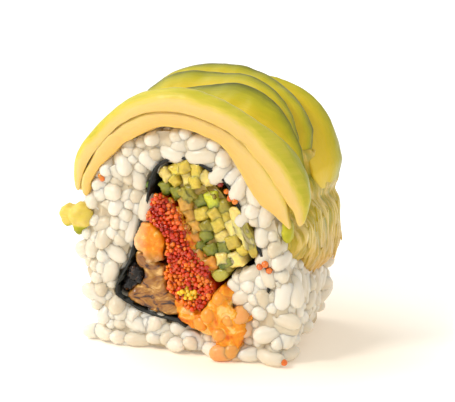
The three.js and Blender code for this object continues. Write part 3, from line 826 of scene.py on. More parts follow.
# Crushed avocado: flesh torn into wet threads, cream and green side by side with glints between, peach at its
# foot.
def crushed_material():
    material, tree = new_material("crushed_avocado")
    place = add_node(tree, "ShaderNodeTexCoord")
    streak = add_node(tree, "ShaderNodeAttribute", attribute_name="streak")
    flow = add_node(
        tree,
        "ShaderNodeMapping",
        {"Vector": place.outputs["Object"], "Scale": (1.0, 1.0, 0.25)},
    )
    threads = add_node(
        tree,
        "ShaderNodeTexNoise",
        {
            "Vector": flow.outputs["Vector"],
            "Scale": 620.0,
            "Detail": 5.0,
            "Roughness": 0.7,
            "Distortion": 0.5,
        },
    )
    drawn = add_node(
        tree,
        "ShaderNodeMath",
        {0: threads.outputs["Fac"], 1: 1.1, 2: streak.outputs["Fac"]},
        operation="MULTIPLY_ADD",
    )
    shade = add_node(
        tree,
        "ShaderNodeValToRGB",
        {"Fac": drawn.outputs[0]},
        stops=[(0.34, "#80801A"), (0.52, "#A6981E"), (0.74, "#C4A62C"), (0.98, "#E4C876")],
    )
    parts = add_node(tree, "ShaderNodeSeparateXYZ", {"Vector": place.outputs["Object"]})
    foot = add_node(
        tree,
        "ShaderNodeMapRange",
        {"Value": parts.outputs["Z"], "From Min": 0.013, "From Max": 0.021, "To Min": 0.75, "To Max": 0.0},
    )
    faded = add_node(
        tree,
        "ShaderNodeMix",
        {MIX_SHARE: foot.outputs["Result"], MIX_FIRST: shade.outputs["Color"], MIX_SECOND: linear("#DAAC66")},
        data_type="RGBA",
    )
    bump = add_node(
        tree,
        "ShaderNodeBump",
        {"Height": threads.outputs["Fac"], "Strength": 0.5, "Distance": 0.0006},
    )
    skin = add_node(
        tree,
        "ShaderNodeBsdfPrincipled",
        {
            "Base Color": faded.outputs[MIX_COLOUR],
            "Roughness": 0.34,
            "IOR": 1.4,
            "Specular IOR Level": 0.35,
            "Subsurface Weight": 0.35,
            "Subsurface Radius": (1.0, 0.8, 0.25),
            "Subsurface Scale": 0.0012,
            "Coat Weight": 0.15,
            "Coat Roughness": 0.1,
            "Normal": bump.outputs["Normal"],
        },
    )
    add_node(tree, "ShaderNodeOutputMaterial", {"Surface": skin.outputs["BSDF"]})
    return material


# Matt photographic paper: plain and pale, with a warmer patch painted round the food and a little to its
# right, which is painted shadow and painted bounced light from the food.
def floor_material():
    material, tree = new_material("white_paper")
    place = add_node(tree, "ShaderNodeTexCoord")
    away = add_node(
        tree,
        "ShaderNodeVectorMath",
        {0: place.outputs["Object"], 1: (0.01, 0.0, 0.0)},
        operation="DISTANCE",
    )
    # Warmer close to the food and white further out: painted shadow and bounced light.
    shade = add_node(
        tree,
        "ShaderNodeValToRGB",
        {"Fac": away.outputs["Value"]},
        stops=[(0.018, "#FBEFDC"), (0.035, "#FEFAF3"), (0.08, "#FFFFFF")],
    )
    skin = add_node(
        tree,
        "ShaderNodeBsdfPrincipled",
        {
            "Base Color": shade.outputs["Color"],
            "Roughness": 0.7,
            "Specular IOR Level": 0.2,
            "Emission Color": linear("#FFF6EA"),
            "Emission Strength": 0.19,
        },
    )
    add_node(tree, "ShaderNodeOutputMaterial", {"Surface": skin.outputs["BSDF"]})
    return material


def pick(*objects):
    """Selects these objects alone and makes the first one active."""
    bpy.ops.object.select_all(action="DESELECT")
    for piece in objects:
        piece.select_set(True)
    bpy.context.view_layer.objects.active = objects[0]


def modify(piece, kind, **settings):
    """Adds a modifier with its settings and applies it."""
    pick(piece)
    modifier = piece.modifiers.new(kind.title(), kind)
    for name, value in settings.items():
        setattr(modifier, name, value)
    bpy.ops.object.modifier_apply(modifier=modifier.name)


def copy_of(node, name):
    """A new piece with a CAD node's form, its loose triangles joined."""
    piece = bpy.data.objects.new(name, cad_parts[node].data.copy())
    bpy.context.scene.collection.objects.link(piece)
    piece.data.materials.clear()
    pick(piece)
    bpy.ops.object.mode_set(mode="EDIT")
    bpy.ops.mesh.select_all(action="SELECT")
    bpy.ops.mesh.remove_doubles(threshold=0.01 * MM)
    bpy.ops.object.mode_set(mode="OBJECT")
    return piece


def subdivide(piece, cuts):
    """Cuts every face of a piece into a grid."""
    pick(piece)
    bpy.ops.object.mode_set(mode="EDIT")
    bpy.ops.mesh.select_all(action="SELECT")
    bpy.ops.mesh.subdivide(number_cuts=cuts)
    bpy.ops.object.mode_set(mode="OBJECT")


def add_ball(target, place, radius, scale=(1, 1, 1)):
    """Joins a ball to a piece, or starts one with it. Its place and radius are in mm."""
    bpy.ops.mesh.primitive_ico_sphere_add(
        subdivisions=3, radius=radius * MM, location=[c * MM for c in place], scale=scale
    )
    if target is not None:
        pick(target, bpy.context.object)
        bpy.ops.object.join()
    return bpy.context.object


def soften(piece, voxel, rounds, swell=0.0):
    """Remeshes a piece at a voxel size in mm, relaxes it and moves its skin out by swell mm."""
    modify(piece, "REMESH", mode="VOXEL", voxel_size=voxel * MM)
    modify(piece, "SMOOTH", factor=0.5, iterations=rounds)
    if swell:
        modify(piece, "DISPLACE", strength=swell * MM, mid_level=0.0)


def roughen(piece, size, strength, depth=2):
    """Pushes a piece's skin in and out by strength mm in lumps of size mm."""
    lumps = bpy.data.textures.new(f"{piece.name}_{size}", "CLOUDS")
    lumps.noise_scale = size * MM
    lumps.noise_depth = depth
    modify(piece, "DISPLACE", texture=lumps, texture_coords="LOCAL", strength=strength * MM, mid_level=0.5)


def points_of(piece):
    """A piece's vertices as an array in metres."""
    flat = np.empty(len(piece.data.vertices) * 3)
    piece.data.vertices.foreach_get("co", flat)
    return flat.reshape(-1, 3)


def put_points(piece, points):
    """Writes an array back to a piece's vertices."""
    piece.data.vertices.foreach_set("co", points.ravel())
    piece.data.update()


def stand(piece):
    """Flattens what is below the floor onto it."""
    points = points_of(piece)
    points[:, 2] = np.maximum(points[:, 2], 0.0)
    put_points(piece, points)


def store(piece, name, values):
    """Keeps one number, or one vector, for each vertex."""
    values = np.asarray(values, float)
    kind = "FLOAT" if values.ndim == 1 else "FLOAT_VECTOR"
    field = "value" if values.ndim == 1 else "vector"
    layer = piece.data.attributes.new(name, kind, "POINT")
    layer.data.foreach_set(field, values.ravel())


def store_same(piece, **values):
    """Keeps the same number, or the same colour, for every vertex under each name."""
    count = len(piece.data.vertices)
    for name, value in values.items():
        store(piece, name, np.tile(value, (count, 1)) if np.ndim(value) else np.full(count, value))


def store_run(piece, along, shade, high):
    """Keeps where each vertex of a piece of avocado lies along, across and up the flesh."""
    store(piece, "run", np.stack([along, np.broadcast_to(shade, len(along)), high], axis=1))


def finish_piece(piece, material, slot, *nodes):
    """Gives a piece its material, smooth shading and body, and hides the CAD nodes it stands for. Its slot is
    not used.
    """
    piece.data.materials.clear()
    piece.data.materials.append(material)
    pick(piece)
    bpy.ops.object.shade_smooth()
    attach(piece, "root")
    if nodes:
        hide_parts(*nodes)


def tree_of(names):
    """One search tree over the triangles of several CAD nodes."""
    points = []
    faces = []
    for name in names:
        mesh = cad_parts[name].data
        start = len(points)
        points.extend(tuple(v.co) for v in mesh.vertices)
        faces.extend(tuple(start + i for i in p.vertices) for p in mesh.polygons)
    return BVHTree.FromPolygons(points, faces)


def front_hit(tree, x, z):
    """What is hit first from the front at a place on the cut face, in mm, or None."""
    return tree.ray_cast(Vector((x * MM, -OUTSIDE, z * MM)), Vector((0, 1, 0)))[0]


def flank_hit(tree, y, z):
    """What is hit first from the right at a place on the flank, in mm, and its normal, or None twice."""
    return tree.ray_cast(Vector((OUTSIDE, y * MM, z * MM)), Vector((-1, 0, 0)))[:2]


def scatter(piece, count, seed, least_turn=0.0):
    """Chance spots on a piece and their normals, on faces turned to the front or back by at least a share."""
    piece.data.calc_loop_triangles()
    corners = points_of(piece)
    normals = np.array([v.normal for v in piece.data.vertices])
    triangles = np.array([t.vertices for t in piece.data.loop_triangles])
    facing = normals[triangles[:, 0]]
    a, b, c = (corners[triangles[:, i]] for i in range(3))
    area = np.linalg.norm(np.cross(b - a, c - a), axis=1) * (np.abs(facing[:, 1]) >= least_turn)
    source = np.random.default_rng(seed)
    chosen = source.choice(len(triangles), size=count, p=area / area.sum())
    share = source.random((count, 2))
    past = share.sum(axis=1) > 1
    share[past] = 1 - share[past]
    spots = a[chosen] + (b - a)[chosen] * share[:, :1] + (c - a)[chosen] * share[:, 1:]
    return spots, facing[chosen]


def many(name, shapes, places, layers):
    """One piece from many copies of small shapes: each place is (shape number, 3x3 matrix, centre)."""
    points = []
    faces = []
    owner = []
    for i, (shape, turn, centre) in enumerate(places):
        base, base_faces = shapes[shape]
        start = len(owner)
        points.append(base @ np.array(turn).T + np.array(centre))
        owner.extend([i] * len(base))
        faces.extend(tuple(start + k for k in face) for face in base_faces)
    mesh = bpy.data.meshes.new(name)
    mesh.from_pydata(np.concatenate(points).tolist(), [], faces)
    piece = bpy.data.objects.new(name, mesh)
    bpy.context.scene.collection.objects.link(piece)
    for layer, values in layers.items():
        store(piece, layer, np.asarray(values, float)[owner])
    return piece


def shape_of(piece):
    """A small shape's points and faces, taken off its object, which is then removed."""
    shape = (points_of(piece), [tuple(p.vertices) for p in piece.data.polygons])
    bpy.data.objects.remove(piece)
    return shape


def frame_on(direction, up):
    """A matrix whose columns are across, up and along, for a shape that lies along Z."""
    along = Vector(direction).normalized()
    across = Vector(up).cross(along).normalized()
    return Matrix((across, along.cross(across), along)).transposed()


def rise(values, start, width):
    """A share that grows from 0 at the start to 1 a width further on."""
    return np.clip((values - start) / width, 0, 1)


def fall(values, end, width):
    """A share that drops from 1 to 0 over a width and is 0 from the end on."""
    return np.clip((end - values) / width, 0, 1)


class RollSettings(bpy.types.PropertyGroup):
    """Sizes and numbers that someone reusing the roll would change."""

    grain_length: FloatProperty(
        name="Grain length", description="Length of a cooked rice grain", default=5.8 * MM, unit="LENGTH"
    )
    grain_width: FloatProperty(
        name="Grain width", description="Width of a cooked rice grain", default=3.2 * MM, unit="LENGTH"
    )
    bead: FloatProperty(
        name="Roe bead", description="Diameter of a fish egg", default=0.76 * MM, unit="LENGTH"
    )
    seed: IntProperty(name="Seed", description="Chooses how grains and beads fall", default=SEED)
    floor_radius: FloatProperty(
        name="Floor radius", description="Radius of the studio floor", default=4.0, unit="LENGTH"
    )


def grain_shapes(settings):
    """Three cooked grains along Z: a plump one, a bent one and one with a broken end."""
    shapes = []
    for bend, blunt in ((6, 0.0), (26, 0.0), (12, 0.3)):
        bpy.ops.mesh.primitive_uv_sphere_add(segments=10, ring_count=8, radius=0.5)
        grain = bpy.context.object
        points = points_of(grain)
        height = points[:, 2]
        girth = (1.0 - (2.0 * np.abs(height)) ** 2.6) ** 0.5
        ball = np.maximum((1.0 - (2.0 * height) ** 2) ** 0.5, 0.001)
        fuller = np.where(girth > 0, girth / ball, 1.0)
        points[:, 0] *= fuller * settings.grain_width
        points[:, 1] *= np.where(girth > 0, 0.88 * fuller, 1.0) * settings.grain_width
        points[:, 2] = np.minimum(height, 0.5 - blunt) * settings.grain_length
        put_points(grain, points)
        modify(grain, "SIMPLE_DEFORM", deform_method="BEND", deform_axis="X", angle=math.radians(bend))
        shapes.append(shape_of(grain))
    return shapes


def line_points(centre, along, half):
    """Five points along a grain's middle line, by which other grains keep clear of it."""
    return np.array(centre) + LINE_STEPS[:, None] * np.array(along) * half


class Grains:
    """The grains placed so far, with the points and middle lines that later ones keep clear of."""

    def __init__(self):
        self.places = []
        self.tones_and_gap_shades = []
        self.stains = []
        self.middles = np.empty((0, 3))
        self.lines = np.empty((0, len(LINE_STEPS), 3))

    def add(self, shape, turned, centre, spot, line, tint, stain=0.0):
        """Keeps a grain: its shape number, matrix, centre, spot on the surface, middle line, stain and tone;
        a sunken grain's low tone is painted shade.
        """
        self.places.append((shape, turned, centre))
        self.middles = np.vstack([self.middles, [tuple(spot)]])
        self.lines = np.concatenate([self.lines, [line]])
        self.tones_and_gap_shades.append(tint)
        self.stains.append(stain)


def lay_face_grains(grains, settings, chance, fillings):
    """Lays the grains that the cut face is known by, in front of the fillings where they lie on them."""
    for x, z, half, turn, tilt, stain in FACE_GRAINS:
        lean = math.radians(tilt)
        spin = math.radians(turn)
        flat = math.cos(lean)
        along = Vector((math.sin(spin) * flat, math.sin(lean), math.cos(spin) * flat))
        scale = max(2 * half * MM / settings.grain_length, SHORTEST_GRAIN)
        hit = front_hit(fillings, x, z)
        front = FACE_Y if hit is None else min(FACE_Y, hit.y + 0.4 * MM)
        if stain > 0.5:
            front -= 0.55 * MM
        centre = Vector((x * MM, front + math.sin(lean) * 2.0 * MM, z * MM))
        turned = frame_on(along, (0, -1, 0)) @ Matrix.Diagonal((1, 1, scale))
        line = line_points(centre, along, settings.grain_length / 2 * scale)
        grains.add(chance.randrange(2), turned, centre, centre, line, chance.uniform(0.35, 0.7), stain)


def lay_foot_grains(grains, settings, chance):
    """Lays the grains along the foot of the cut face."""
    for x, y, z, turn in FOOT_GRAINS:
        spin = math.radians(turn)
        along = Vector((math.sin(spin), math.cos(spin), chance.uniform(-0.2, 0.2)))
        centre = Vector((x * MM, y * MM, z * MM))
        line = line_points(centre, along, settings.grain_length / 2)
        turned = frame_on(along, (0, 0, 1))
        grains.add(chance.randrange(2), turned, centre, centre, line, chance.uniform(0.4, 0.8))


def bare_spots(spots, facing):
    """The spots that the crushed flesh doesn't cover, with their normals."""
    borders = np.array(MASH_BORDER) * MM
    low = np.interp(spots[:, 1], borders[:, 0], borders[:, 1]) + 2.2 * MM
    high = np.interp(spots[:, 1], borders[:, 0], borders[:, 2])
    under = (spots[:, 0] > 12 * MM) & (spots[:, 1] > -11 * MM) & (spots[:, 2] > low) & (spots[:, 2] < high)
    return list(zip(spots[~under], facing[~under]))


def grain_trials(spot, normal, side, sunk, others, settings, chance):
    """Chance ways to lay a grain at a spot, the one with the most room beside other grains first."""
    base = Vector((0, 0, 1)) if abs(normal.z) < 0.8 else Vector((1, 0, 0))
    first = normal.cross(base).normalized()
    second = normal.cross(first)
    trials = []
    for _ in range(GRAIN_TRIALS):
        spin = chance.uniform(0, math.tau)
        lean = math.radians(chance.gauss(0, 28 if side else 9))
        if chance.random() < 0.03:
            lean = math.radians(chance.uniform(50, 80))
        along = (first * math.cos(spin) + second * math.sin(spin)) * math.cos(lean)
        along = along + normal * math.sin(lean)
        half = settings.grain_length / 2 * chance.uniform(0.88, 1.08)
        reach = max(abs(math.sin(lean)) * half, settings.grain_width / 2)
        stands = (chance.uniform(0.6, 1.15) - sunk - 0.4 * max(normal.x, 0)) * MM
        centre = spot + normal * (stands - reach)
        if normal.z < -0.6:
            centre.z = max(centre.z, settings.grain_width * 0.42)
        line = line_points(centre, along, half)
        gap = np.sqrt(((line[:, None] - others) ** 2).sum(axis=2)).min() if len(others) else 1.0
        trials.append((gap, along, half, centre, line))
    trials.sort(key=lambda trial: -trial[0])
    return trials


def grain_fits(line, side, covers, fillings):
    """Whether a grain is off the floor, clear of the other foods and, on a cut face, beside the fillings."""
    if line[:, 2].min() < 0.1 * MM:
        return False
    ends = [Vector(point) for point in line]
    if min(covers.find_nearest(end)[3] or 1.0 for end in ends) < 0.8 * MM:
        return False
    return not (side and any(in_hollow(fillings, end.x, end.z, side) for end in ends))


def in_hollow(fillings, x, z, side):
    """Whether a filling, and no rice, is what is seen at a place on a cut face."""
    hit = fillings.ray_cast(Vector((x, side * OUTSIDE, z)), Vector((0, -side, 0)))[0]
    return hit is not None and abs(hit.y) > 0.010


def lay_layers(grains, spots, settings, chance, covers, fillings, sheet):
    """Covers the rest of the rice with grains, each layer sunk deeper into the gaps of the one above."""
    for apart, clear, sunk in GRAIN_LAYERS:
        for spot, normal in spots:
            away = np.sqrt(np.sum((grains.middles - spot) ** 2, axis=1))
            if away.min() < apart * MM:
                continue
            normal = Vector(normal).normalized()
            spot = Vector(spot)
            side = -1 if normal.y < -0.4 else 1 if normal.y > 0.4 else 0
            out = Vector((0, side, 0)) if side else normal
            start = spot - out * 0.3 * MM
            if covers.ray_cast(start, out, 9 * MM)[0] is not None:
                continue
            if not side and sheet.ray_cast(start, out, 2 * MM)[0] is not None:
                continue
            if side:
                normal = (normal + out * 1.5).normalized()
            others = grains.lines[away < settings.grain_length * 1.3].reshape(-1, 3)
            trials = grain_trials(spot, normal, side, sunk, others, settings, chance)
            fitting = (t for t in trials if t[0] >= clear * MM and grain_fits(t[4], side, covers, fillings))
            trial = next(fitting, None)
            if trial is None:
                continue
            _gap, along, half, centre, line = trial
            girth = chance.uniform(0.94, 1.1)
            size = Matrix.Diagonal((girth, girth, 2 * half / settings.grain_length))
            turned = frame_on(along, normal) @ size
            shape = chance.choice((0, 0, 1, 1, 2))
            # Grains in deeper layers get a lower, tanner tone: painted shade for grains sunk in the gaps.
            grains.add(shape, turned, centre, spot, line, chance.uniform(0.3, 0.8) - 0.2 * sunk)


class URAMAKI_OT_rice(bpy.types.Operator):
    """Model the bed of rice and the grains on its outside"""

    bl_idname = "uramaki.rice"
    bl_label = "Rice"

    def execute(self, context):
        settings = context.scene.uramaki
        chance = random.Random(settings.seed)
        material = rice_material()
        form = copy_of("rice", "rice_form")
        soften(form, 0.9, 14)
        spots = bare_spots(*scatter(form, RICE_SPOTS, settings.seed))
        bpy.data.objects.remove(form)

        covers = tree_of((*FILLINGS, *SLICES, "spicy_sauce", "crushed_avocado", "avocado_scrap"))
        fillings = tree_of((*FILLINGS, "spicy_sauce"))
        grains = Grains()
        lay_face_grains(grains, settings, chance, fillings)
        lay_foot_grains(grains, settings, chance)
        lay_layers(grains, spots, settings, chance, covers, fillings, tree_of(("nori",)))

        shapes = grain_shapes(settings)
        half_way = len(grains.places) // 2
        copies = []
        for name, part in (
            ("rice_grains_over", slice(0, half_way)),
            ("rice_grains_under", slice(half_way, None)),
        ):
            layers = {"tint": grains.tones_and_gap_shades[part], "stain": grains.stains[part]}
            piece = many(name, shapes, grains.places[part], layers)
            stand(piece)
            finish_piece(piece, material, "rice")
            pick(piece)
            bpy.ops.object.duplicate()
            copies.append(context.object)

        bed = copy_of("rice", "rice_bed")
        pick(bed, *copies)
        bpy.ops.object.join()
        soften(bed, 0.4, 3, -0.45)
        stand(bed)
        # The bed shows only between the grains, so its low tone is painted shade in the gaps.
        store_same(bed, tint=0.12, stain=0.0)
        finish_piece(bed, material, "rice", "rice")
        return {"FINISHED"}


class URAMAKI_OT_nori(bpy.types.Operator):
    """Model the crinkled seaweed sheet round the fillings"""

    bl_idname = "uramaki.nori"
    bl_label = "Nori"

    def execute(self, context):
        sheet = copy_of("nori", "nori_sheet")
        subdivide(sheet, 2)
        roughen(sheet, 1.6, 0.3)
        finish_piece(sheet, nori_material(), "nori", "nori")
        return {"FINISHED"}


def stick_shape():
    """A cucumber stick along Y in a cube of side 1, with its long edges rounded and its cut ends domed."""
    bpy.ops.mesh.primitive_cube_add(size=1.0)
    stick = bpy.context.object
    subdivide(stick, 7)
    points = points_of(stick)
    corner = np.abs(points[:, 0] * points[:, 2]) * 4
    points[:, [0, 2]] *= (1 - 0.16 * corner**3)[:, None]
    dome = 0.5 - 0.02 * edge_share(points) ** 4
    points[:, 1] = np.where(np.abs(points[:, 1]) > 0.49, np.sign(points[:, 1]) * dome, points[:, 1])
    put_points(stick, points)
    return shape_of(stick)


def edge_share(points):
    """How far the points of a stick are from its middle line, as a share of the way to its side."""
    return np.maximum(np.abs(points[:, 0]), np.abs(points[:, 2])) * 2


class URAMAKI_OT_cucumber(bpy.types.Operator):
    """Model the bundle of cut cucumber sticks and the loose strip beside it"""

    bl_idname = "uramaki.cucumber"
    bl_label = "Cucumber"

    def execute(self, context):
        chance = random.Random(SEED + 1)
        material = cucumber_material()
        shape = stick_shape()
        places = []
        kinds = []
        for x, z, side, turn, kind in BATONS:
            spin = Matrix.Rotation(math.radians(-turn + chance.uniform(-8, 8)), 3, "Y")
            tilt = Matrix.Rotation(math.radians(chance.uniform(-1, 1)), 3, chance.choice("XZ"))
            wide = side * chance.uniform(0.98, 1.32)
            size = Matrix.Diagonal((wide * MM, STICK_LENGTH * MM, side * side * 1.36 / wide * MM))
            centre = (x * MM, chance.uniform(-0.7, 0.3) * MM, z * MM)
            places.append((0, spin @ tilt @ size, centre))
            kinds.append(kind)
        for x1, z1, x2, z2, wide, kind in LYING_CUTS:
            spin = Matrix.Rotation(math.atan2(x2 - x1, z2 - z1), 3, "Y")
            length = math.hypot(x2 - x1, z2 - z1)
            size = Matrix.Diagonal((wide * MM, 2.4 * MM, length * MM))
            centre = ((x1 + x2) / 2 * MM, LYING_Y * MM, (z1 + z2) / 2 * MM)
            places.append((0, spin @ size, centre))
            kinds.append(kind)
        colours = [flesh_of(BATON_COLOURS[kind], chance.uniform(0.85, 1.15)) for kind in kinds]
        sticks = many("cucumber_bundle", [shape], places, {"flesh": colours})
        base = shape[0]
        skin = np.clip(-0.1 - base[:, 2] * 1.9, 0, 0.8)
        store(sticks, "peel", np.concatenate([skin * (kind in "sy") for kind in kinds]))
        store(sticks, "edge", np.tile(edge_share(base), len(kinds)))
        roughen(sticks, 1.7, 1.1)
        roughen(sticks, 0.6, 0.3)
        finish_piece(sticks, material, "cucumber", "cucumber_sticks")

        # A shrunk, dark olive copy of the bundle shows only in the gaps between the sticks: painted shade.
        shade_core = copy_of("cucumber_sticks", "cucumber_gap_shade")
        soften(shade_core, 0.4, 3, -1.0)
        store_same(shade_core, flesh=flesh_of("#9A7E2A"), peel=0.0, edge=0.6)
        finish_piece(shade_core, material, "cucumber")

        strip = copy_of("cucumber_strip", "cucumber_long_strip")
        soften(strip, 0.3, 3, 0.15)
        store_same(strip, flesh=flesh_of("#B9B04A"), peel=0.0, edge=0.6)
        finish_piece(strip, material, "cucumber", "cucumber_strip")
        return {"FINISHED"}


def bead_colour(spot, chance):
    """The colour of an egg in the bank: red to orange in patches, a yellow lump and an orange strip."""
    x = spot[0] / MM
    z = spot[2] / MM
    lump = math.hypot((x - 1.0) / 1.9, (z - 11.1) / 1.0)
    strip = abs((z - 24.0) + (x + 1.2) * 1.2) < 1.1 and -2.8 < x < 0.8
    shade = chance.uniform(-0.3, 0.3) + 1.3 * noise.noise(Vector(spot) / (2.6 * MM))
    code = "#B82A0C" if shade < -0.25 else "#D84812" if shade < 0.2 else "#F0781C"
    if lump < 1.0:
        code = "#FFC630"
    elif strip:
        code = "#F0702A"
    return flesh_of(code, chance.uniform(0.85, 1.15))


def lay_bank(spots, bead, chance):
    """Places and colours of the eggs on the bank's two ends."""
    kept = np.empty((0, 3))
    places = []
    colours = []
    for spot in spots:
        side = -1 if spot[1] < 0 else 1
        spot = spot + np.array([0, side * chance.uniform(-0.4, 0.75) * MM, 0])
        if len(kept) and np.min(np.sum((kept - spot) ** 2, axis=1)) < (0.72 * bead) ** 2:
            continue
        kept = np.vstack([kept, [spot]])
        size = chance.choice((0.7, 0.85, 0.95, 1.05, 1.2))
        places.append((0, Matrix.Diagonal((size, size, size)), spot))
        colours.append(bead_colour(spot, chance))
    return places, colours


def soaked_beads(chance):
    """Places and colours of the eggs that have drifted into the soaked sauce."""
    places = []
    colours = []
    for x, z, radius in SOAKED_SAUCE:
        for _ in range(SOAKED_BEADS):
            turn = chance.uniform(0, math.tau)
            reach = radius * 1.15 * chance.random() ** 0.5
            spot = (
                (x + reach * math.cos(turn)) * MM,
                (DAB_Y + 0.5 * (reach / radius) ** 2) * MM,
                (z + reach * math.sin(turn)) * MM,
            )
            size = chance.uniform(0.7, 1.0)
            places.append((0, Matrix.Diagonal((size, size, size)), spot))
            colours.append(flesh_of(chance.choice(("#E97422", "#F0802A", "#D9601C", "#F09A32"))))
    return places, colours


def loose_beads(context, chance):
    """Places and colours of the bits that stick to the grains and the cucumber on the cut face."""
    graph = context.evaluated_depsgraph_get()
    names = ("rice_grains_over", "rice_grains_under", "cucumber_bundle")
    trees = [BVHTree.FromObject(bpy.data.objects[name], graph) for name in names]
    places = []
    colours = []
    for x, z, code in LOOSE_BITS:
        hits = [front_hit(tree, x, z) for tree in trees]
        nearest = min((hit.y for hit in hits if hit is not None), default=FACE_Y)
        size = chance.uniform(1.3, 1.7)
        places.append((0, Matrix.Diagonal((size, size, size)), (x * MM, nearest, z * MM)))
        colours.append(flesh_of(code))
    return places, colours


class URAMAKI_OT_roe(bpy.types.Operator):
    """Model the bank of fish eggs on both cut faces"""

    bl_idname = "uramaki.roe"
    bl_label = "Flying fish roe"

    def execute(self, context):
        settings = context.scene.uramaki
        chance = random.Random(settings.seed + 2)
        material = roe_material()
        bed = copy_of("flying_fish_roe", "roe_bed")
        soften(bed, 0.35, 3, 0.1)
        store_same(bed, flesh=flesh_of("#C23A10"))
        spots, _facing = scatter(bed, ROE_SPOTS, settings.seed, 0.35)
        bpy.ops.mesh.primitive_ico_sphere_add(subdivisions=2, radius=settings.bead / 2)
        shape = shape_of(context.object)
        places, colours = lay_bank(spots, settings.bead, chance)
        for more_places, more_colours in (soaked_beads(chance), loose_beads(context, chance)):
            places.extend(more_places)
            colours.extend(more_colours)
        beads = many("roe_beads", [shape], places, {"flesh": colours})
        finish_piece(bed, material, "roe", "flying_fish_roe")
        finish_piece(beads, material, "roe")
        return {"FINISHED"}


class URAMAKI_OT_sauce(bpy.types.Operator):
    """Model the spicy sauce and the tongue of it that runs down to the foot"""

    bl_idname = "uramaki.sauce"
    bl_label = "Spicy sauce"

    def execute(self, context):
        material = sauce_material()
        sauce = copy_of("spicy_sauce", "sauce_tongue")
        for x, z, radius in SAUCE_BLOBS:
            add_ball(sauce, (x, DAB_Y, z), radius, (1, 0.3, 1))
        soften(sauce, 0.3, 6, 0.1)
        roughen(sauce, 2.2, 1.3)
        roughen(sauce, 0.9, 0.35)
        stand(sauce)
        finish_piece(sauce, material, "sauce", "spicy_sauce")

        soaked = None
        for x, z, radius in SOAKED_SAUCE:
            soaked = add_ball(soaked, (x, SOAKED_Y, z), radius, (1.0, 0.8, 1.2))
        soaked.name = "soaked_sauce"
        bpy.ops.object.transform_apply(location=True, rotation=True, scale=True)
        soften(soaked, 0.25, 4, 0.1)
        roughen(soaked, 1.2, 0.8)
        finish_piece(soaked, material, "sauce")
        return {"FINISHED"}


class URAMAKI_OT_meat(bpy.types.Operator):
    """Model the prawn meat, the eel and its folded skin"""

    bl_idname = "uramaki.meat"
    bl_label = "Prawn and eel"

    def execute(self, context):
        prawn = copy_of("prawn_meat", "prawn_flesh")
        soften(prawn, 0.3, 3, 0.3)
        roughen(prawn, 2.0, 1.5)
        roughen(prawn, 0.8, 0.5)
        finish_piece(prawn, prawn_material(), "prawn", "prawn_meat")

        eel = copy_of("eel_fillet", "eel_flakes")
        soften(eel, 0.3, 3, 0.3)
        roughen(eel, 1.7, 0.9, 3)
        finish_piece(eel, eel_material(), "eel", "eel_fillet")

        skin = copy_of("eel_skin", "eel_black_skin")
        soften(skin, 0.25, 3, 0.35)
        roughen(skin, 1.5, 1.9, 3)
        roughen(skin, 0.6, 0.9)
        finish_piece(skin, eel_skin_material(), "eel_skin", "eel_skin")
        return {"FINISHED"}


def around(points):
    """The angle from upright and the distance of points round the middle of the slices' arch."""
    x, z = points[:, 0], points[:, 2] - ARCH_Z
    return np.arctan2(x, z), np.hypot(x, z)


def edge_curve(angle, values, choose):
    """The least or the greatest value of a slice's sections, at evenly spaced angles round the roll."""
    knots = np.linspace(angle.min(), angle.max(), SECTIONS)
    bins = np.clip(np.searchsorted(knots, angle), 0, SECTIONS - 1)
    curve = np.full(SECTIONS, np.inf if choose is np.minimum else -np.inf)
    choose.at(curve, bins, values)
    known = np.isfinite(curve)
    curve = np.interp(knots, knots[known], curve[known])
    return knots, np.convolve(np.pad(curve, 2, mode="edge"), np.ones(5) / 5, mode="valid")


def edge_at(angle, values, choose):
    """The least or the greatest value of the section that each point of a slice lies in."""
    return np.interp(angle, *edge_curve(angle, values, choose))


def round_off(piece):
    """Subdivides a slice to a smooth surface whose long edges stay crisp and whose ends are softer."""
    pick(piece)
    bpy.ops.object.mode_set(mode="EDIT")
    bpy.ops.mesh.select_all(action="SELECT")
    bpy.ops.mesh.tris_convert_to_quads(face_threshold=math.radians(30), shape_threshold=math.radians(80))
    bpy.ops.mesh.select_all(action="DESELECT")
    bpy.ops.mesh.select_mode(type="EDGE")
    bpy.ops.mesh.edges_select_sharp(sharpness=math.radians(45))
    bpy.ops.transform.edge_crease(value=0.8)
    bpy.ops.mesh.select_mode(type="VERT")
    bpy.ops.object.mode_set(mode="OBJECT")
    angle, _radius = around(points_of(piece))
    creases = piece.data.attributes.get("crease_edge")
    for edge in piece.data.edges:
        middle = angle[list(edge.vertices)].mean()
        if middle < angle.min() + 0.12 or middle > angle.max() - 0.12:
            creases.data[edge.index].value *= 0.25
    modify(piece, "SUBSURF", levels=3, render_levels=3)


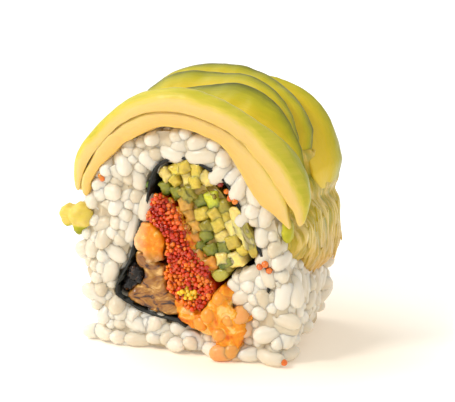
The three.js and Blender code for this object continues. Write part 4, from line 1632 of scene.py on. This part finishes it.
def shape_ends(points, number):
    """Draws a slice's two ends out to blunt points and lays the front slices close on the rice."""
    angle, radius = around(points)
    inside = edge_at(angle, radius, np.minimum)
    front = edge_at(angle, points[:, 1], np.minimum)
    middle = (front + edge_at(angle, points[:, 1], np.maximum)) / 2
    left = rise(angle, angle.min(), 0.16 if number < 3 else 0.3)
    slim = (left * fall(angle, angle.max(), 0.16)) ** 0.6
    height = (radius - inside) * (0.35 + 0.65 * slim)
    depth = middle + (points[:, 1] - middle) * (0.45 + 0.55 * slim)
    share = rise(radius, inside, 2.6 * MM)
    settle = np.zeros(len(points))
    if number == 1:
        broad = rise(angle, 0.35, 0.5) * fall(angle, angle.max(), 0.3)
        settle += (1.5 * broad + 1.3 * fall(angle, -0.2, 0.5)) * (1 - share)
        depth -= 0.3 * MM * broad
    if number == 2:
        broad = rise(angle, 0.45, 0.4) * fall(angle, angle.max(), 0.35)
        settle += 0.6 * fall(angle, angle.min() + 0.65, 0.65) - 0.5 * broad * share
        settle += 1.4 * fall(angle, -0.3, 0.4) * (1 - share)
        depth = front + (depth - front) * (1 + 0.75 * broad)
    if number < 3:
        settle -= 1.3 * rise(angle, angle.max() - 0.4, 0.4)
    if number == 2:
        angle = np.where(angle < -0.6, -0.6 + (angle + 0.6) * 1.75, angle)
    radius = inside + height - settle * MM
    return np.stack([radius * np.sin(angle), depth, ARCH_Z + radius * np.cos(angle)], axis=1)


class URAMAKI_OT_avocado(bpy.types.Operator):
    """Model the fan of avocado slices over the top"""

    bl_idname = "uramaki.avocado"
    bl_label = "Avocado slices"

    def execute(self, context):
        material = avocado_material()
        covered = None
        for number, node in enumerate(SLICES, start=1):
            piece = copy_of(node, f"avocado_wedge_{number}")
            round_off(piece)
            roughen(piece, 5.0, 0.6)
            points = shape_ends(points_of(piece), number)
            put_points(piece, points)
            angle, radius = around(points)
            depth = points[:, 1]
            inside = edge_at(angle, radius, np.minimum)
            outside = edge_at(angle, radius, np.maximum)
            front = edge_at(angle, depth, np.minimum)
            rim_curve = edge_curve(angle, depth, np.maximum)
            rim = np.interp(angle, *rim_curve)
            near = depth < front + 1.0 * MM
            brow = np.interp(angle, *edge_curve(angle[near], radius[near], np.maximum))
            face = rise(radius, inside, np.maximum(brow - inside, 0.3 * MM))
            height = rise(radius, inside, np.maximum(outside - inside, 0.3 * MM))
            start = front if covered is None else np.maximum(front, np.interp(angle, *covered))
            across = rise(depth, start, np.maximum(rim - start, 0.5 * MM))
            covered = rim_curve
            shades = {1: 0.4 * face + 0.1 * across, 2: 0.5 * face + 0.5 * across}
            shade = shades.get(number, 0.2 * height + 0.8 * across)
            store_run(piece, angle * 22.0, shade, points[:, 2] / MM)
            store_same(piece, cream={1: 1.0, 2: 1.0, 3: 0.1}.get(number, 0.0))
            finish_piece(piece, material, "avocado", node)
        return {"FINISHED"}


def lie_on(under, along, above):
    """How far right the surface under the crushed flesh stands at each place, in mm, evened out."""
    reach = np.full(len(along), 14.0)
    for i, (y, z) in enumerate(zip(along, above)):
        hit = flank_hit(under, y, z)[0]
        if hit is not None:
            reach[i] = hit.x / MM
    reach = reach.reshape(MASH_ROWS, MASH_COLUMNS)
    for size, choose in ((2, np.max), (1, np.mean), (2, np.mean), (2, np.mean)):
        edged = np.pad(reach, size, mode="edge")
        span = range(2 * size + 1)
        reach = choose([edged[i : i + MASH_ROWS, j : j + MASH_COLUMNS] for i in span for j in span], axis=0)
    return reach.ravel()


def tear(along, above):
    """How far inside the ragged border each place on the flank is, in mm, and its height in the streaks."""
    borders = np.array(MASH_BORDER)
    low = np.interp(along, borders[:, 0], borders[:, 1])
    high = np.interp(along, borders[:, 0], borders[:, 2])
    streaks = np.empty(len(along))
    for i, (y, z) in enumerate(zip(along, above)):
        bend = y + 0.03 * (z - 20) ** 2
        low[i] += 1.6 * noise.noise(Vector((y * 0.7, 1.3, 0.2)))
        low[i] += 0.8 * noise.noise(Vector((y * 2.1, z, 0.2)))
        high[i] += 1.8 * noise.noise(Vector((y * 0.8, 5.3, 0.2)))
        high[i] += 0.8 * noise.noise(Vector((y * 2.1, z, 4.2)))
        streaks[i] = 0.5 * noise.noise(Vector((bend * 0.3, z * 0.12, 3.7)))
        streaks[i] += 0.6 * noise.noise(Vector((bend * 0.8, z * 0.3, 9.1)))
        streaks[i] += 0.5 * noise.noise(Vector((bend * 1.6, z * 0.6, 5.5)))
    return np.minimum(np.minimum(above - low, high - above), along + 12.4), streaks


def mash_sheet():
    """The crushed flesh as a closed sheet with torn borders, laid over the slices and the rice."""
    bpy.ops.mesh.primitive_grid_add(x_subdivisions=MASH_COLUMNS - 1, y_subdivisions=MASH_ROWS - 1, size=1.0)
    mash = bpy.context.object
    mash.name = "avocado_mash"
    points = points_of(mash)
    along = MASH_FRONT + MASH_LENGTH * (points[:, 0] + 0.5)
    above = MASH_FOOT + MASH_HEIGHT * (points[:, 1] + 0.5)
    reach = lie_on(tree_of((*SLICES[2:], "crushed_avocado", "rice")), along, above)
    inward, streaks = tear(along, above)
    cover = np.clip(inward / 2.2, -1, 1)
    thin = rise(above, 22.0, 8.0)
    proud = -0.15 + (0.7 - 0.5 * thin) * cover + (0.3 - 0.14 * thin) * streaks
    put_points(mash, np.stack([reach + np.minimum(proud, 1.1) - 1.0, along, above], axis=1) * MM)
    store(mash, "streak", 0.15 + 0.45 * streaks)

    pick(mash)
    bpy.ops.object.mode_set(mode="EDIT")
    bpy.ops.mesh.select_mode(type="VERT")
    bpy.ops.mesh.select_all(action="DESELECT")
    bpy.ops.object.mode_set(mode="OBJECT")
    mash.data.vertices.foreach_set("select", cover < -0.7)
    bpy.ops.object.mode_set(mode="EDIT")
    bpy.ops.mesh.delete(type="VERT")
    bpy.ops.object.mode_set(mode="OBJECT")
    modify(mash, "SOLIDIFY", thickness=1.2 * MM, offset=-1.0)
    pick(mash)
    bpy.ops.object.mode_set(mode="EDIT")
    bpy.ops.mesh.select_all(action="SELECT")
    bpy.ops.mesh.normals_make_consistent(inside=False)
    bpy.ops.object.mode_set(mode="OBJECT")
    modify(mash, "SUBSURF", levels=1, render_levels=1)
    return mash


def thread_shape():
    """A short bent thread along Z in a cube of side 1."""
    bpy.ops.mesh.primitive_uv_sphere_add(segments=6, ring_count=7, radius=0.5)
    thread = bpy.context.object
    modify(thread, "SIMPLE_DEFORM", deform_method="BEND", deform_axis="X", angle=math.radians(30))
    return shape_of(thread)


class URAMAKI_OT_crushed(bpy.types.Operator):
    """Model the crushed avocado on the flank and the scrap on the other side"""

    bl_idname = "uramaki.crushed"
    bl_label = "Crushed avocado"

    def execute(self, context):
        material = crushed_material()
        chance = random.Random(SEED + 5)
        mash = mash_sheet()
        finish_piece(mash, material, "crushed_avocado", "crushed_avocado")

        shape = thread_shape()
        pick(mash)
        flank = BVHTree.FromObject(mash, context.evaluated_depsgraph_get())
        places = []
        for _ in range(THREADS):
            y = chance.uniform(-9, 14.5)
            z = chance.uniform(14.0, 30.0)
            spot, normal = flank_hit(flank, y, z)
            if spot is None:
                continue
            lean = chance.gauss(0, 0.12)
            along = Vector((0, math.sin(lean), math.cos(lean)))
            along = along - normal * along.dot(normal)
            size = (chance.uniform(0.5, 1.0) * MM, 0.5 * MM, chance.uniform(2.2, 4.6) * MM)
            centre = spot - normal * chance.uniform(0.05, 0.2) * MM
            places.append((0, frame_on(along, normal) @ Matrix.Diagonal(size), centre))
        shades = [chance.uniform(0.1, 0.5) for _ in places]
        threads = many("avocado_threads", [shape], places, {"streak": shades})
        finish_piece(threads, material, "crushed_avocado")

        flesh = avocado_material()
        bit = add_ball(None, (0, 0, 0), 1.0)
        bit.name = "lime_bit"
        points = points_of(bit) * np.array([1.1, 1.6, 2.1]) + np.array([18.2, -12.9, 23.4]) * MM
        put_points(bit, points)
        roughen(bit, 1.4, 0.9)
        store_run(bit, points[:, 0] / MM, 0.55, points[:, 2] / MM)
        store_same(bit, cream=1.0)
        finish_piece(bit, flesh, "crushed_avocado")

        scrap = copy_of("avocado_scrap", "avocado_bit")
        add_ball(scrap, (-19.8, -13.8, 23.0), 2.3)
        add_ball(scrap, (-20.4, -13.4, 20.6), 1.3)
        soften(scrap, 0.3, 4)
        roughen(scrap, 1.8, 1.1)
        points = points_of(scrap)
        green = np.clip(0.4 + (21.4 - points[:, 2] / MM) * 0.3, 0.4, 0.85)
        store_run(scrap, points[:, 0] / MM, green, points[:, 2] / MM)
        store_same(scrap, cream=1.0)
        finish_piece(scrap, flesh, "crushed_avocado", "avocado_scrap")
        return {"FINISHED"}


def towards(direction):
    """The rotation of a lamp or camera that looks along a direction."""
    return direction.to_track_quat("-Z", "Y").to_euler()


class URAMAKI_OT_stage(bpy.types.Operator):
    """Set the floor, the lights and the camera"""

    bl_idname = "uramaki.stage"
    bl_label = "Studio"

    def execute(self, context):
        settings = context.scene.uramaki
        bpy.ops.object.select_all(action="DESELECT")
        bpy.ops.mesh.primitive_circle_add(vertices=96, radius=settings.floor_radius, fill_type="NGON")
        floor = context.object
        floor.name = "studio_floor"
        floor.data.materials.append(floor_material())

        world = bpy.data.worlds.new("soft_white")
        world.use_nodes = True
        background = world.node_tree.nodes["Background"]
        background.inputs["Color"].default_value = linear("#FFFFFF")
        background.inputs["Strength"].default_value = 0.72
        context.scene.world = world

        bpy.ops.object.light_add(type="SUN", location=(-0.3, 0.05, 0.3))
        sun = context.object
        sun.name = "skylight"
        sun.data.energy = 1.25
        sun.data.angle = math.radians(50)
        sun.data.color = linear("#FFFAF0")[:3]
        sun.rotation_euler = towards(Vector((0.75, -0.1, -0.85)))

        bpy.ops.object.light_add(type="AREA", location=(-0.20, -0.28, 0.34))
        lamp = context.object
        lamp.name = "glint_softbox"
        lamp.data.shape = "SQUARE"
        lamp.data.size = 0.10
        lamp.data.energy = 0.9
        lamp.data.color = linear("#FFFDF8")[:3]
        lamp.rotation_euler = towards(Vector((0, 0, 0.02)) - lamp.location)

        azimuth, elevation = math.radians(21.7), math.radians(13.0)
        level = math.cos(elevation)
        back = Vector((math.sin(azimuth) * level, -math.cos(azimuth) * level, math.sin(elevation)))
        bpy.ops.object.camera_add(location=Vector((0.00226, 0.0, 0.0244)) + back * CAMERA_DISTANCE)
        camera = context.object
        camera.rotation_euler = towards(-back)
        camera.data.sensor_width = SENSOR_WIDTH
        camera.data.lens = FOCAL_PIXELS * SENSOR_WIDTH / PHOTO_WIDTH
        camera.data.clip_start = 0.01
        context.scene.camera = camera
        context.scene.view_settings.view_transform = "Standard"
        return {"FINISHED"}


class URAMAKI_PT_panel(bpy.types.Panel):
    """Lists the roll's pieces in the order they are made"""

    bl_idname = "URAMAKI_PT_panel"
    bl_label = "Uramaki roll"
    bl_space_type = "VIEW_3D"
    bl_region_type = "UI"
    bl_category = "Uramaki"

    def draw(self, context):
        settings = context.scene.uramaki
        for name in settings.bl_rna.properties.keys():
            if name not in ("rna_type", "name"):
                self.layout.prop(settings, name)
        for step in STEPS:
            self.layout.operator(step.bl_idname)


STEPS = (
    URAMAKI_OT_rice,
    URAMAKI_OT_nori,
    URAMAKI_OT_cucumber,
    URAMAKI_OT_roe,
    URAMAKI_OT_sauce,
    URAMAKI_OT_meat,
    URAMAKI_OT_avocado,
    URAMAKI_OT_crushed,
    URAMAKI_OT_stage,
)


def register():
    for part in (RollSettings, *STEPS, URAMAKI_PT_panel):
        bpy.utils.register_class(part)
    bpy.types.Scene.uramaki = PointerProperty(type=RollSettings)


def unregister():
    del bpy.types.Scene.uramaki
    for part in reversed((RollSettings, *STEPS, URAMAKI_PT_panel)):
        bpy.utils.unregister_class(part)


def main():
    register()
    for step in STEPS:
        group, name = step.bl_idname.split(".")
        getattr(getattr(bpy.ops, group), name)()


if __name__ == "__main__":
    main()
